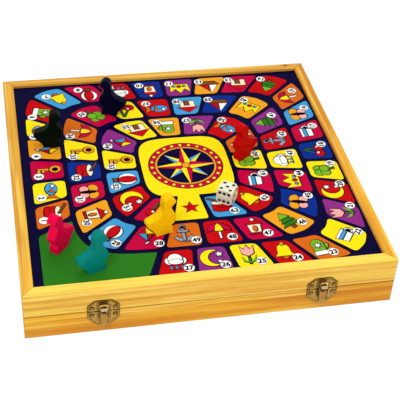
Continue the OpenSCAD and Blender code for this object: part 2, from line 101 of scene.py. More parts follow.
# %% Read sizes from the parts
rail_low, rail_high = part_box("lid_front_rail")
front_y = rail_low.y
play_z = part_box("goose_board_print")[1].z
sheet_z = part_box("goose_board_print")[0].z
under_back_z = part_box("ludo_board_print")[1].z
rim_z = rail_high.z
field = -rail_high.y
seam_z = rim_z / 2
keeper_low, keeper_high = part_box("right_latch_keeper")
foot_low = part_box("right_latch_plate")[0]
latch_x = (keeper_low.x + keeper_high.x) / 2
print("rim at", round(rim_z / MM, 2), "board at", round(play_z / MM, 2))
print("the field inside the rails is", round(2 * field / MM, 1), "mm wide")

# %% [markdown]
# ## The camera
#
# The photograph was taken from above the front edge, a little to the left, with a long
# lens, so the far edge is only slightly shorter than the near one. The camera's place
# was found by matching the case's corners. A camera looks along its own -Z, so its matrix
# is built from three directions: right, up and back.

# %% Place the camera
AZIMUTH, ELEVATION, ROLL = math.radians(-13.1364), math.radians(39.0464), math.radians(3.4789)
CAMERA_AT = Vector((-0.1712, -0.8218, 0.6849))
back = Vector((math.sin(AZIMUTH) * math.cos(ELEVATION), -math.cos(AZIMUTH) * math.cos(ELEVATION),
               math.sin(ELEVATION)))
level_right = Vector((math.cos(AZIMUTH), math.sin(AZIMUTH), 0))
level_up = back.cross(level_right)
right = level_right * math.cos(ROLL) + level_up * math.sin(ROLL)
up = level_up * math.cos(ROLL) - level_right * math.sin(ROLL)
camera_data = bpy.data.cameras.new("camera")
camera_data.lens = 94.28
camera_data.sensor_width = 36
camera = bpy.data.objects.new("camera", camera_data)
bpy.context.scene.collection.objects.link(camera)
camera.matrix_world = Matrix((right, up, back)).transposed().to_4x4()
camera.location = CAMERA_AT
bpy.context.scene.camera = camera
print("camera", [round(v, 3) for v in camera.location], "lens", camera_data.lens)

# %% [markdown]
# ## Writing shaders as sums
#
# A procedural material is arithmetic on places: how far is this point from the middle of
# the log, how close is it to a knot. It could be wired by hand, but twenty Math nodes are
# hard to read. A small class wraps each socket, so that `1 - mask` or `ring * 0.5` adds
# the nodes by itself. One more method, `node`, makes every other kind of node.

# %% A finish and its sockets
def linear(red, green, blue):
    """The colour that a screen shows as these three numbers out of 255."""
    parts = [v / 255 for v in (red, green, blue)]
    return [v / 12.92 if v < 0.04045 else ((v + 0.055) / 1.055) ** 2.4 for v in parts] + [1]


class Socket:
    """One output in a finish, on which ordinary arithmetic works."""

    def __init__(self, finish, link):
        self.finish, self.link = finish, link

    def maths(self, operation, *values):
        return self.finish.node("ShaderNodeMath", {"operation": operation}, dict(enumerate(values)))

    def __add__(self, other):
        return self.maths("ADD", self, other)

    def __radd__(self, other):
        return self.maths("ADD", other, self)

    def __sub__(self, other):
        return self.maths("SUBTRACT", self, other)

    def __rsub__(self, other):
        return self.maths("SUBTRACT", other, self)

    def __mul__(self, other):
        return self.maths("MULTIPLY", self, other)

    def __rmul__(self, other):
        return self.maths("MULTIPLY", other, self)

    def __truediv__(self, other):
        return self.maths("DIVIDE", self, other)

    def __rtruediv__(self, other):
        return self.maths("DIVIDE", other, self)

    def __pow__(self, other):
        return self.maths("POWER", self, other)

    def fraction(self):
        return self.maths("FRACT", self)

    def floor(self):
        return self.maths("FLOOR", self)

    def size(self):
        return self.maths("ABSOLUTE", self)

    def root(self):
        return self.maths("SQRT", self)

    def larger(self, other):
        return self.maths("MAXIMUM", self, other)

    def smaller(self, other):
        return self.maths("MINIMUM", self, other)

    def ramp(self, low, high, start=0, end=1):
        """Rises smoothly from start to end while the value goes from low to high."""
        return self.finish.node("ShaderNodeMapRange", {"interpolation_type": "SMOOTHSTEP"},
                                {0: self, 1: low, 2: high, 3: start, 4: end})


class Finish:
    """A material under construction, with the object's own coordinates at hand."""

    def __init__(self, name):
        self.material = bpy.data.materials.new(name)
        self.material.use_nodes = True
        self.tree = self.material.node_tree
        self.surface = self.tree.nodes["Principled BSDF"]
        self.place = self.node("ShaderNodeTexCoord", out="Object")
        apart = self.node("ShaderNodeSeparateXYZ", {}, {0: self.place}).link.node
        self.x, self.y, self.z = (Socket(self, output) for output in apart.outputs)

    def node(self, kind, settings=None, inputs=None, out=0):
        """Makes any node: its settings first, then the values or links of its sockets."""
        made = self.tree.nodes.new(kind)
        for name, value in (settings or {}).items():
            setattr(made, name, value)
        for name, value in (inputs or {}).items():
            if isinstance(value, Socket):
                self.tree.links.new(value.link, made.inputs[name])
            else:
                made.inputs[name].default_value = value
        return Socket(self, made.outputs[out])

    def mix(self, factor, first, second):
        """Colours are mixed by a Mix node, because a Math node would turn them grey."""
        return self.node("ShaderNodeMix", {"data_type": "RGBA"}, {0: factor, 6: first, 7: second}, out=2)

    def vector(self, x, y, z):
        """Three values joined into one place."""
        return self.node("ShaderNodeCombineXYZ", {}, {0: x, 1: y, 2: z})

    def noise(self, at, scale, detail=3, roughness=0.5, distortion=0):
        """Cloudy noise from 0 to 1, with scale bumps to the metre."""
        return self.node("ShaderNodeTexNoise", {}, {"Vector": at, "Scale": scale, "Detail": detail,
                                                    "Roughness": roughness, "Distortion": distortion})

    def finish(self, bump=None, depth=0.0, **sockets):
        """Feeds the surface. A height in millimetres goes through one Bump node."""
        for name, value in sockets.items():
            entry = self.surface.inputs[name.replace("_", " ")]
            if isinstance(value, Socket):
                self.tree.links.new(value.link, entry)
            else:
                entry.default_value = value
        if bump is not None:
            height = self.node("ShaderNodeBump", {}, {"Height": bump, "Distance": depth * MM,
                                                      "Strength": 1})
            self.tree.links.new(height.link, self.surface.inputs["Normal"])
        return self.material


def dress(node, material):
    """Gives a part of the model its finish, without touching its shape."""
    part = frame["nodes"][node]
    for slot in part.material_slots:
        slot.material = material


print("shader helpers ready")

# %% [markdown]
# ## The outline of a latch's plates
#
# Shade is painted along the cut edge of a metal plate, on the metal and on the wood beside it.
# Both finishes need to know how far a point is from that edge. The two plates together
# make one outline with eight sides, so the distance is the smallest of the distances to
# its straight sides. Both latches share it, because it is measured from the nearer one.
# The painted shade is weaker low down, so a second helper says how strong it is there.

# %% Distance to a plate's edge
PLATE_HALF = keeper_high.x - latch_x
END_DROP = 1.0 * MM
UPPER_END, UPPER_END_HALF, UPPER_SHOULDER = keeper_high.z - seam_z, 8.5 * MM, 6.5 * MM
LOWER_END, LOWER_END_HALF, LOWER_SHOULDER = seam_z - foot_low.z, 7.0 * MM, 9.0 * MM
SHADE_FAINT_BELOW, SHADE_FULL_ABOVE = seam_z - 8 * MM, seam_z - 4 * MM


def from_latch(finish):
    """How far aside of the nearer latch's middle a point is."""
    return (finish.x.size() - latch_x).size()


def inside_plates(finish):
    """How far a point lies inside the plates' common outline. Outside it is below zero."""
    inwards = PLATE_HALF - from_latch(finish)
    edges = inwards
    for end, end_half, shoulder, from_seam in (
            (UPPER_END, UPPER_END_HALF, UPPER_SHOULDER, finish.z - seam_z),
            (LOWER_END, LOWER_END_HALF, LOWER_SHOULDER, seam_z - finish.z)):
        rise, run = end - END_DROP - shoulder, PLATE_HALF - end_half
        slope = (inwards * rise + (shoulder - from_seam) * run) / math.hypot(rise, run)
        edges = edges.smaller(slope).smaller(end - from_seam)
    return edges


def dirtiness(finish):
    """The painted shade is strongest round the upper plate, and weak low down."""
    return finish.z.ramp(SHADE_FAINT_BELOW, SHADE_FULL_ABOVE, 0.3, 1)


print("a plate is", round(2 * PLATE_HALF / MM, 1), "mm wide")

# %% [markdown]
# ## Pine rails
#
# A pine rail shows long stripes: pale spring wood and darker summer wood, which ends
# sharply where the winter came. A picture of wood stretched over the rail would show the
# same stripes on every face. Here the rail is cut out of a log instead. The distance from
# the log's heart, bent by noise, is split into yearly rings, so each face shows the
# figure that a saw would have laid open. Knots are branches: they darken the wood and push
# the rings aside. Where two rails meet in a mitre, both are at the same distance from the
# middle along X and along Y, so that plane gets the thin dark line of the glued joint.
# Shade is painted a little along the outer edges at which the two trays meet, and a painted
# shadow lies on the wood round the latches' plates.

# %% Pine
HONEY, RESIN, DENSE = linear(255, 222, 110), linear(186, 112, 26), linear(158, 84, 14)
FIBRE, FLECK, KNOT = linear(190, 116, 24), linear(150, 86, 22), linear(136, 66, 18)
GLUE_AND_SEAM_SHADE, PLATE_SHADOW = linear(96, 52, 14), linear(84, 44, 8)
KNOT_STRETCH = 0.62


def pine(name, along, spring, summer, heart, ring, seed, knots=(), painted_top_highlight=None, latched=False):
    """Wood for one rail. along is its axis, heart the log's middle across it, in millimetres.

    ring is the width of a year, and a knot is its place and its radius. The paler top colour is a
    painted highlight on the rail's top face, and a latched rail gets a painted shadow round the plates on
    it.
    """
    wood = Finish(name)
    run, across = (wood.x, wood.y) if along == "x" else (wood.y, wood.x)
    upward = wood.z

    def stretched(run_scale, scale, shift, detail, roughness=0.5):
        """Noise that is drawn out along the grain."""
        at = wood.vector(run * run_scale + seed * shift, across * scale, upward * scale)
        return wood.noise(at, 1.0, detail=detail, roughness=roughness)

    bend = stretched(3.1, 22, 1, 2) - 0.5
    fine_bend = stretched(9, 90, 3, 2) - 0.5
    off_across = across - heart[0] * MM
    off_upward = upward - heart[1] * MM
    distance = (off_across * off_across + off_upward * off_upward).root()
    distance = distance + bend * (9 * MM) + fine_bend * (1.1 * MM)
    uneven = wood.noise(wood.vector(distance * 80 + seed, 0.0, 0.0), 1.0, detail=2)
    distance = distance + uneven * (ring * 1.5 * MM)
    dark = 0.0
    for at, width in knots:
        gap = wood.node("ShaderNodeVectorMath", {"operation": "DISTANCE"},
                        {0: wood.vector(run * KNOT_STRETCH, across, upward),
                         1: (at[0] * MM * KNOT_STRETCH, at[1] * MM, at[2] * MM)}, out="Value")
        gap = gap + fine_bend * (1.2 * MM)
        distance = distance + gap.ramp(0, width * 2.6 * MM, width * 0.9 * MM, 0)
        dark = dark + gap.ramp(width * 0.35 * MM, width * 0.75 * MM, 0.9, 0.0)
        dark = dark + gap.ramp(width * 0.6 * MM, width * 1.9 * MM, 0.28, 0.0)
    year = distance / (ring * MM)
    age = year.fraction()
    vary = wood.noise(wood.vector(year.floor() * 0.37 + seed, 0.0, 0.0), 1.0, detail=0)
    come_and_go = stretched(7, 40, 2, 1)
    summer_wood = age.ramp(0.3, 0.9) * (1 - age.ramp(0.94, 1.0)) * vary.ramp(0.25, 0.75, 0.25, 1)
    summer_wood = summer_wood * come_and_go.ramp(0.36, 0.6, 0.25, 1)
    fibre = stretched(26, 1500, 1, 4, roughness=0.7)
    fleck = wood.noise(wood.vector(run * 130, across * 2600 + seed, upward * 2600), 1.0, detail=2)
    tone = stretched(5, 75, 7, 2)
    streak = stretched(8, 260, 5, 3)
    vein = stretched(6, 380, 9, 2)
    colour = wood.mix(tone.ramp(0.38, 0.62, 0, 0.7), spring, summer)
    colour = wood.mix(streak.ramp(0.5, 0.66, 0, 0.6), colour, HONEY)
    colour = wood.mix(vein.ramp(0.56, 0.68, 0, 0.42), colour, RESIN)
    colour = wood.mix(summer_wood, colour, summer)
    colour = wood.mix(summer_wood ** 3 * 0.5, colour, DENSE)
    colour = wood.mix(fibre.ramp(0.38, 0.72, 0, 0.3), colour, FIBRE)
    colour = wood.mix(fleck.ramp(0.6, 0.76, 0, 0.45), colour, FLECK)
    if painted_top_highlight:
        # Painted highlight: the top face is made paler, as light from above makes it look.
        pale = wood.z.ramp(rim_z - 0.8 * MM, rim_z - 0.3 * MM) * (1 - summer_wood * 0.5)
        colour = wood.mix(pale * vein.ramp(0.52, 0.66, 1, 0.45), colour, painted_top_highlight)
    if knots:
        colour = wood.mix(dark, colour, KNOT)
    glue = (wood.x.size() - wood.y.size()).size().ramp(0.12 * MM, 0.42 * MM, 0.75, 0)
    outside = wood.x.size().larger(wood.y.size()).ramp(-front_y - 0.9 * MM, -front_y - 0.3 * MM)
    # Painted shade along the seam between the two trays, on the outer faces only.
    seam_shade = (wood.z - seam_z).size().ramp(0.15 * MM, 0.7 * MM, 0.8, 0) * outside
    seam_shade = seam_shade * come_and_go.ramp(0.3, 0.6, 0.45, 1)
    colour = wood.mix(glue.larger(seam_shade), colour, GLUE_AND_SEAM_SHADE)
    if latched:
        # Painted shadow on the wood's front face, just outside the plates' outline.
        plate_shadow = inside_plates(wood).ramp(-0.9 * MM, -0.1 * MM, 0, 0.6) * dirtiness(wood)
        face = wood.y.ramp(front_y + 0.1 * MM, front_y + 0.4 * MM, 1, 0)
        colour = wood.mix(plate_shadow * face, colour, PLATE_SHADOW)
    rough = summer_wood * -0.08 + fibre * 0.1 + 0.42
    relief = summer_wood * 0.5 + fibre * 0.5
    return wood.finish(bump=relief, depth=0.06, Base_Color=colour, Roughness=rough,
                       Coat_Weight=0.05, Coat_Roughness=0.2, Specular_IOR_Level=0.2)


rails = {
    "lid_front_rail": pine("pine_lid_front", "x", linear(244, 204, 84), linear(224, 159, 44), (-210, -95),
                           8.4, 3.7, knots=[((44, -161, 47), 1.6)], painted_top_highlight=linear(247, 212, 84),
                           latched=True),
    "lid_back_rail": pine("pine_lid_back", "x", linear(238, 188, 66), linear(196, 130, 34), (250, -30),
                          4.2, 5.3, knots=[((150, 166, 51), 2.6), ((-112, 168, 50), 1.6)]),
    "lid_left_rail": pine("pine_lid_left", "y", linear(244, 194, 58), linear(206, 140, 30), (-100, -60),
                          5.2, 8.7),
    "lid_right_rail": pine("pine_lid_right", "y", linear(236, 172, 30), linear(192, 116, 10), (260, 20),
                           6.2, 11.9, knots=[((165, 108, 50), 1.6)]),
    "base_front_rail": pine("pine_base_front", "x", linear(242, 184, 44), linear(200, 116, 6), (-190, -62),
                            9.0, 12.6, latched=True),
    "base_back_rail": pine("pine_base_back", "x", linear(238, 180, 56), linear(196, 126, 26), (240, 60),
                           5.6, 17.5),
    "base_left_rail": pine("pine_base_left", "y", linear(238, 180, 54), linear(200, 124, 22), (-90, 70),
                           5.4, 20.1),
    "base_right_rail": pine("pine_base_right", "y", linear(238, 178, 50), linear(198, 122, 22), (230, -40),
                            4.8, 23.8),
}
for node, wood in rails.items():
    dress(node, wood)
print(len(rails), "rails of pine")

# %% [markdown]
# ## Plywood and slats
#
# The boards are plywood, seen bare only when the case is open. Rotary-cut veneer has a
# broad, cloudy figure, because the knife peels along the rings. A stretched noise folded
# into bands gives it without any rings at all. The dividers are planed strips of the same
# light wood with a straight grain.

# %% Veneer
def veneer(name, pale, dark, stretch, seed):
    """Cloudy peeled veneer, with its grain along X."""
    wood = Finish(name)
    cloud = wood.noise(wood.vector(wood.x * stretch + seed, wood.y * 26, wood.z * 26), 1.0,
                       detail=3, distortion=0.4)
    band = (cloud * 9).fraction()
    edge = band.ramp(0.0, 0.75) * (1 - band.ramp(0.8, 1.0))
    pore = wood.noise(wood.vector(wood.x * 60 + seed, wood.y * 1400, wood.z * 1400), 1.0, detail=3)
    colour = wood.mix(edge * 0.45, pale, dark)
    colour = wood.mix(pore.ramp(0.5, 0.75, 0, 0.3), colour, dark)
    return wood.finish(bump=pore, depth=0.05, Base_Color=colour, Roughness=pore * 0.15 + 0.5)


board_veneer = veneer("birch_veneer", linear(226, 196, 148), linear(196, 156, 104), 3.0, 3.3)
slat_wood = veneer("slat_wood", linear(232, 196, 134), linear(204, 154, 88), 1.2, 9.1)
for node in ("ludo_board_panel", "goose_board_panel"):
    dress(node, board_veneer)
for node in ("long_divider", "left_cross_divider", "right_cross_divider"):
    dress(node, slat_wood)
print("veneer on the panels and slats")

# %% [markdown]
# ## Aged brass
#
# The latches and hinges are stamped sheet with an antique plating: golden on the flats and
# rubbed to bright metal where hands reach, with painted shade that makes the grooves and the
# edges nearly black. That wear could be painted by hand. Here it is worked out from how far a
# point stands out from the wood, with noise to break it up, so every bend that sticks out is
# polished and every groove gets painted shade. The corners that little light reaches get
# painted shade too, which also stands for the dirt that settles where pieces meet. Each kind
# of piece asks for what it needs: the plates for painted shade along their edge and a painted
# highlight on the hook's lip, the lever and the loop for painted shade on their sides, the
# loop for a painted highlight on its top.

# %% Brass
TARNISH, CREVICE_SHADE, GROOVE_SHADE = linear(96, 64, 24), linear(30, 17, 5), linear(34, 20, 6)
SIDE_SHADE, PLATE_EDGE_SHADE = linear(50, 30, 10), linear(44, 24, 6)
HOOK_LIP_HIGHLIGHT, LOOP_TOP_HIGHLIGHT = linear(206, 186, 136), linear(250, 214, 146)


def aged_brass(name, wood_y, outward, groove, bright_from, bright_to, flat, rubbed,
               side_shade_from=None, rim_shade_and_lip_highlight=False, highlight_z=None):
    """Plated sheet. Heights over the wood, in millimetres, set where it is dark or bright.

    Below groove it gets painted shade, and from bright_from to bright_to it goes from flat to rubbed.
    Further than the side limit from the latch's middle it gets painted shade, and just below the
    highlight height it gets a painted highlight. A plate gets painted shade along its edge and a
    painted highlight on the hook's lip.
    """
    brass = Finish(name)
    out = (brass.y - wood_y) * outward
    patch = brass.noise(brass.place, 420, detail=4, roughness=0.65)
    grain = brass.noise(brass.place, 2600, detail=3)
    worn = (out + (patch - 0.5) * (1.2 * MM)).ramp(bright_from * MM, bright_to * MM)
    colour = brass.mix(worn, flat, rubbed)
    # Painted highlight: a pale grey-gold on the hook's lip, the part that sticks out furthest.
    if rim_shade_and_lip_highlight:
        lip_highlight = out.ramp((bright_to + 1.6) * MM, (bright_to + 2.6) * MM)
        colour = brass.mix(lip_highlight, colour, HOOK_LIP_HIGHLIGHT)
    colour = brass.mix(patch.ramp(0.46, 0.66, 0, 0.55), colour, TARNISH)
    # Painted highlight on the top of the loop.
    if highlight_z:
        colour = brass.mix(brass.z.ramp(highlight_z - 2.6 * MM, highlight_z - 1.8 * MM), colour, LOOP_TOP_HIGHLIGHT)
    # Painted shade in the corners and gaps that little light reaches, read from ambient occlusion; it also
    # stands for dirt there.
    open_air = brass.node("ShaderNodeAmbientOcclusion", {"samples": 8}, {"Distance": 1.1 * MM}, out="AO")
    colour = brass.mix(open_air.ramp(0.35, 0.85, 0.8, 0), colour, CREVICE_SHADE)
    # Painted shade on everything lower than groove: grooves, screw slots and the plates' sides.
    groove_shade = out.ramp((groove - 0.1) * MM, (groove + 0.1) * MM, 0.92, 0)
    colour = brass.mix(groove_shade, colour, GROOVE_SHADE)
    # Painted shade on the sides of the lever and the loop.
    if side_shade_from:
        side = from_latch(brass).ramp(side_shade_from - 0.4 * MM, side_shade_from, 0, 0.8)
        colour = brass.mix(side, colour, SIDE_SHADE)
    # Painted shade just inside the plates' edge, stronger round the upper plate.
    if rim_shade_and_lip_highlight:
        edge = inside_plates(brass).ramp(0.4 * MM, 0.9 * MM, 0.85, 0) * dirtiness(brass)
        colour = brass.mix(edge, colour, PLATE_EDGE_SHADE)
    rough = 0.42 - worn * 0.16 + grain * 0.12
    return brass.finish(bump=patch * 0.6 + grain * 0.4, depth=0.05, Base_Color=colour,
                        Metallic=1.0, Roughness=rough)


hinge_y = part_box("lid_back_rail")[1].y
lever_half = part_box("right_latch_lever")[1].x - latch_x
loop_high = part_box("right_latch_loop")[1]
gold, bright_gold = linear(194, 154, 74), linear(218, 176, 94)
brown_gold, dull_gold = linear(176, 130, 62), linear(202, 158, 82)
plate_finish = aged_brass("plate_brass", front_y, -1, 0.55, 0.8, 2.2, gold, bright_gold,
                          rim_shade_and_lip_highlight=True)
screw_finish = aged_brass("screw_brass", front_y, -1, 1.25, 1.3, 1.8, linear(150, 112, 54),
                          linear(246, 214, 146))
lever_finish = aged_brass("lever_brass", front_y, -1, 2.6, 3.8, 5.8, brown_gold, dull_gold,
                          side_shade_from=lever_half - 0.7 * MM)
loop_finish = aged_brass("loop_brass", front_y, -1, 1.4, 2.6, 4.6, brown_gold, dull_gold,
                         side_shade_from=loop_high.x - latch_x - 0.6 * MM, highlight_z=loop_high.z)
hinge_finish = aged_brass("hinge_brass", hinge_y, 1, 0.6, 1.0, 4.4, gold, bright_gold)
for side in ("left_", "right_"):
    for node in ("latch_plate", "latch_keeper"):
        dress(side + node, plate_finish)
    for node in ("latch_screws", "keeper_screws"):
        dress(side + node, screw_finish)
    for node in ("latch_lever", "lever_pin", "loop_pin"):
        dress(side + node, lever_finish)
    dress(side + "latch_loop", loop_finish)
    for node in ("hinge_base_leaf", "hinge_lid_leaf", "hinge_pin", "hinge_base_screws",
                 "hinge_lid_screws"):
        dress(side + node, hinge_finish)
print("brass on the latches and hinges")

# %% [markdown]
# ## Printed boards
#
# A board's print is flat ink under varnish. It could be drawn with shader sums, but a
# hundred tiles and numbers would need thousands of nodes. Instead the drawing is made of
# thin flat shapes, laid on each other like cut paper a few thousandths of a millimetre
# apart, and each shape carries its ink as a colour attribute. One material then reads
# that colour for the whole sheet. Every ink also has a shaded tone for the side of an
# emblem that is turned away from its painted light.

# %% Inks and outlines
INK = {
    "navy": linear(8, 5, 50), "black": linear(8, 5, 12), "white": linear(250, 250, 244),
    "yellow": linear(255, 226, 20), "amber": linear(238, 160, 30), "orange": linear(214, 104, 22),
    "red": linear(196, 8, 16), "crimson": linear(196, 4, 62), "purple": linear(140, 44, 130),
    "sky": linear(66, 156, 212), "blue": linear(8, 44, 138), "green": linear(43, 119, 28),
    "lime": linear(120, 180, 40), "brown": linear(128, 72, 26), "pink": linear(244, 170, 160),
    "cream": linear(244, 232, 196), "grey": linear(150, 152, 166),
}
SHADE = 0.45
for name in list(INK):
    INK["shaded " + name] = [part * SHADE for part in INK[name][:3]] + [1]


def box_outline(x0, y0, x1, y1):
    """A rectangle from one corner to the opposite one."""
    return [(x0, y0), (x1, y0), (x1, y1), (x0, y1)]


def disc(x, y, radius, squash=1.0, tilt=0.0, count=28):
    """A round or oval outline."""
    turn = math.radians(tilt)
    points = []
    for i in range(count):
        a = 2 * math.pi * i / count
        px, py = radius * math.cos(a), radius * squash * math.sin(a)
        points.append((x + px * math.cos(turn) - py * math.sin(turn),
                       y + px * math.sin(turn) + py * math.cos(turn)))
    return points


def arc(x, y, radius, start, end, count=14):
    """Points on a circle from start to end, in degrees."""
    return [(x + radius * math.cos(math.radians(start + (end - start) * i / count)),
             y + radius * math.sin(math.radians(start + (end - start) * i / count)))
            for i in range(count + 1)]


def star(x, y, outer, inner, count, turn=90.0):
    """A star with its first point at turn degrees."""
    points = []
    for i in range(2 * count):
        radius = outer if i % 2 == 0 else inner
        a = math.radians(turn + 180 * i / count)
        points.append((x + radius * math.cos(a), y + radius * math.sin(a)))
    return points


def area_of(points):
    """The area of an outline, which is below zero if it runs clockwise."""
    return sum(a[0] * b[1] - b[0] * a[1] for a, b in zip(points, points[1:] + points[:1])) / 2


def grown(points, by):
    """The outline moved outwards by a set distance, for the dark line round a shape."""
    sign = 1 if area_of(points) > 0 else -1
    result = []
    for before, here, after in zip(points[-1:] + points[:-1], points, points[1:] + points[:1]):
        first = Vector((here[1] - before[1], before[0] - here[0])).normalized()
        second = Vector((after[1] - here[1], here[0] - after[0])).normalized()
        middle = first + second
        if middle.length < 0.5:
            middle = first
        middle.normalize()
        reach = by * sign / max(0.5, middle.dot(first))
        result.append((here[0] + middle.x * reach, here[1] + middle.y * reach))
    return result


def rounded(points, radius, count=5):
    """A polygon with its corners rounded."""
    result = []
    for before, here, after in zip(points[-1:] + points[:-1], points, points[1:] + points[:1]):
        corner = Vector(here)
        back_way = Vector(before) - corner
        on_way = Vector(after) - corner
        reach = min(radius, back_way.length * 0.45, on_way.length * 0.45)
        start = corner + back_way.normalized() * reach
        end = corner + on_way.normalized() * reach
        for i in range(count + 1):
            t = i / count
            p = start * (1 - t) ** 2 + corner * (2 * t * (1 - t)) + end * t ** 2
            result.append((p.x, p.y))
    return result


class Sheet:
    """A printed sheet made of flat inked shapes, in millimetres. Two layers lie STEP apart."""

    STEP = 0.008

    def __init__(self, name, z, faces_up):
        self.name, self.z = name, z
        self.up = 1 if faces_up else -1
        self.points, self.faces, self.inks = [], [], []

    def shape(self, points, ink, layer):
        """One inked outline, on a layer that lies over all lower ones."""
        if (area_of(points) > 0) != (self.up > 0):
            points = points[::-1]
        start = len(self.points)
        z = self.z + self.up * layer * self.STEP * MM
        self.points += [(x * MM, y * MM, z) for x, y in points]
        self.inks += [INK[ink]] * len(points)
        self.faces.append(range(start, start + len(points)))

    def make(self, material, body, node):
        """Turns the collected shapes into one piece that stands in for the bare sheet."""
        mesh = bpy.data.meshes.new(self.name)
        mesh.from_pydata(self.points, [], self.faces)
        colours = mesh.color_attributes.new("ink", "FLOAT_COLOR", "POINT")
        colours.data.foreach_set("color", [part for ink in self.inks for part in ink])
        mesh.materials.append(material)
        piece = bpy.data.objects.new(self.name, mesh)
        bpy.context.scene.collection.objects.link(piece)
        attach(piece, body)
        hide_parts(node)
        print(self.name, len(self.faces), "inked shapes")
        return piece


print(len(INK), "inks")

# %% [markdown]
# ## Ink under varnish
#
# Printed paper isn't perfectly even: the ink is a little mottled, and the varnish over it
# has a faint orange-peel skin that breaks up its reflections. Both are small noises on
# top of the ink's own colour. A clear coat on the shader stands for the varnish.

# %% The varnished print
def varnished_print(name):
    """Mottled ink under a clear skin with a faint grain of fine scuffs."""
    sheet = Finish(name)
    ink = sheet.node("ShaderNodeAttribute", {"attribute_name": "ink"}, out="Color")
    mottle = sheet.noise(sheet.place, 900, detail=3, roughness=0.7)
    peel = sheet.noise(sheet.place, 260, detail=2)
    along = sheet.x * 60 + sheet.y * 25
    across = sheet.y * 900 - sheet.x * 300
    scuff = sheet.noise(sheet.vector(along, across, 0.0), 1.0, detail=4, roughness=0.6)
    colour = sheet.mix(mottle.ramp(0.3, 0.7, 0.0, 0.1), ink, linear(10, 8, 24))
    colour = sheet.mix(scuff.ramp(0.66, 0.8, 0.0, 0.06), colour, linear(200, 200, 210))
    rough = 0.42 + mottle * 0.12
    return sheet.finish(bump=peel, depth=0.02, Base_Color=colour, Roughness=rough,
                        Specular_IOR_Level=0.0, Coat_Weight=0.06, Coat_Roughness=0.15)


board_print = varnished_print("varnished_print")
print("print finish ready")

# %% [markdown]
# ## Little pictures for the tiles
#
# Every tile of a race game carries a picture. These are plain emblems of everyday things,
# each drawn from a few circles and polygons in a box from -1 to 1, in the order in which
# they are laid. A dark rim is added round each shape by growing its outline.

# %% Emblems
def moon():
    outer = arc(0, 0, 0.85, 60, 300, 20)
    inner = arc(0.42, 0, 0.73, 283, 77, 20)
    return [(outer + inner, "yellow"), (star(0.55, 0.35, 0.26, 0.11, 5), "white"),
            (star(0.5, -0.4, 0.17, 0.07, 5), "white")]


def sail_boat():
    return [([(-0.9, -0.3), (0.9, -0.3), (0.55, -0.75), (-0.6, -0.75)], "brown"),
            ([(-0.05, -0.2), (-0.05, 0.9), (-0.7, -0.2)], "white"),
            ([(0.08, -0.2), (0.08, 0.7), (0.7, -0.2)], "red")]


def fir_tree():
    return [(box_outline(-0.14, -0.9, 0.14, -0.4), "brown"),
            ([(-0.75, -0.55), (0.75, -0.55), (0, 0.25)], "green"),
            ([(-0.58, -0.1), (0.58, -0.1), (0, 0.6)], "green"),
            ([(-0.42, 0.32), (0.42, 0.32), (0, 0.95)], "lime")]


def clover():
    leaves = [(disc(0.36 * math.cos(a), 0.12 + 0.36 * math.sin(a), 0.36), "lime")
              for a in (math.radians(d) for d in (45, 135, 225, 315))]
    return [([(-0.06, 0), (0.06, 0), (0.3, -0.9), (0.14, -0.92)], "green")] + leaves


def house():
    return [(box_outline(-0.6, -0.8, 0.6, 0.15), "cream"),
            ([(-0.85, 0.12), (0.85, 0.12), (0, 0.85)], "red"),
            (box_outline(-0.15, -0.8, 0.2, -0.2), "brown")]


def umbrella():
    canopy = arc(0, -0.05, 0.85, 0, 180, 18) + [(-0.4, 0.1), (0, -0.05), (0.4, 0.1)]
    return [(box_outline(-0.06, -0.85, 0.06, 0.8), "white"),
            (canopy, "crimson"),
            ([(-0.3, 0.0), (0, -0.02), (0.3, 0.0), (0.2, 0.5), (0, 0.78), (-0.2, 0.5)], "yellow")]


def key():
    return [(box_outline(-0.1, -0.85, 0.1, 0.3), "amber"),
            (box_outline(0.08, -0.85, 0.45, -0.65), "amber"),
            (box_outline(0.08, -0.5, 0.35, -0.32), "amber"),
            (disc(0, 0.5, 0.42), "amber"), (disc(0, 0.52, 0.17), "black")]


def bell():
    body = [(-0.7, -0.5), (0.7, -0.5), (0.48, -0.2)] + arc(0, 0.25, 0.45, 0, 180, 12) + [(-0.48, -0.2)]
    return [(disc(0, -0.62, 0.2), "orange"), (body, "yellow"), (disc(0, 0.78, 0.13), "amber")]


def kite():
    return [([(0, -0.35), (0.12, -0.6), (-0.1, -0.8), (-0.16, -0.76), (0.02, -0.58), (-0.08, -0.36)],
             "white"),
            ([(0, 0.95), (0.55, 0.3), (0, -0.45), (-0.55, 0.3)], "red"),
            ([(0, 0.95), (0.55, 0.3), (0, 0.3)], "yellow"),
            ([(0, 0.3), (-0.55, 0.3), (0, -0.45)], "sky")]


def balloon():
    return [([(-0.2, -0.85), (0.2, -0.85), (0.16, -0.5), (-0.16, -0.5)], "brown"),
            (disc(0, 0.2, 0.66, squash=1.05), "white"),
            (disc(0, 0.2, 0.34, squash=2.0), "red")]


def cup():
    return [(disc(0.55, -0.1, 0.32), "white"), (disc(0.55, -0.1, 0.16), "black"),
            ([(-0.62, 0.4), (0.5, 0.4), (0.38, -0.55), (-0.5, -0.55)], "white"),
            ([(-0.6, 0.18), (0.48, 0.18), (0.45, -0.05), (-0.57, -0.05)], "sky")]


def butterfly():
    return [(disc(-0.42, 0.3, 0.42, 0.8, 30), "amber"), (disc(0.42, 0.3, 0.42, 0.8, -30), "amber"),
            (disc(-0.35, -0.4, 0.33), "pink"), (disc(0.35, -0.4, 0.33), "pink"),
            (disc(0, -0.05, 0.12, 4.6), "black")]


def crown():
    return [([(-0.75, -0.6), (0.75, -0.6), (0.85, 0.5), (0.4, 0.05), (0, 0.7), (-0.4, 0.05),
              (-0.85, 0.5)], "yellow"),
            (disc(0, -0.25, 0.15), "red"), (disc(-0.45, -0.3, 0.11), "sky"),
            (disc(0.45, -0.3, 0.11), "sky")]


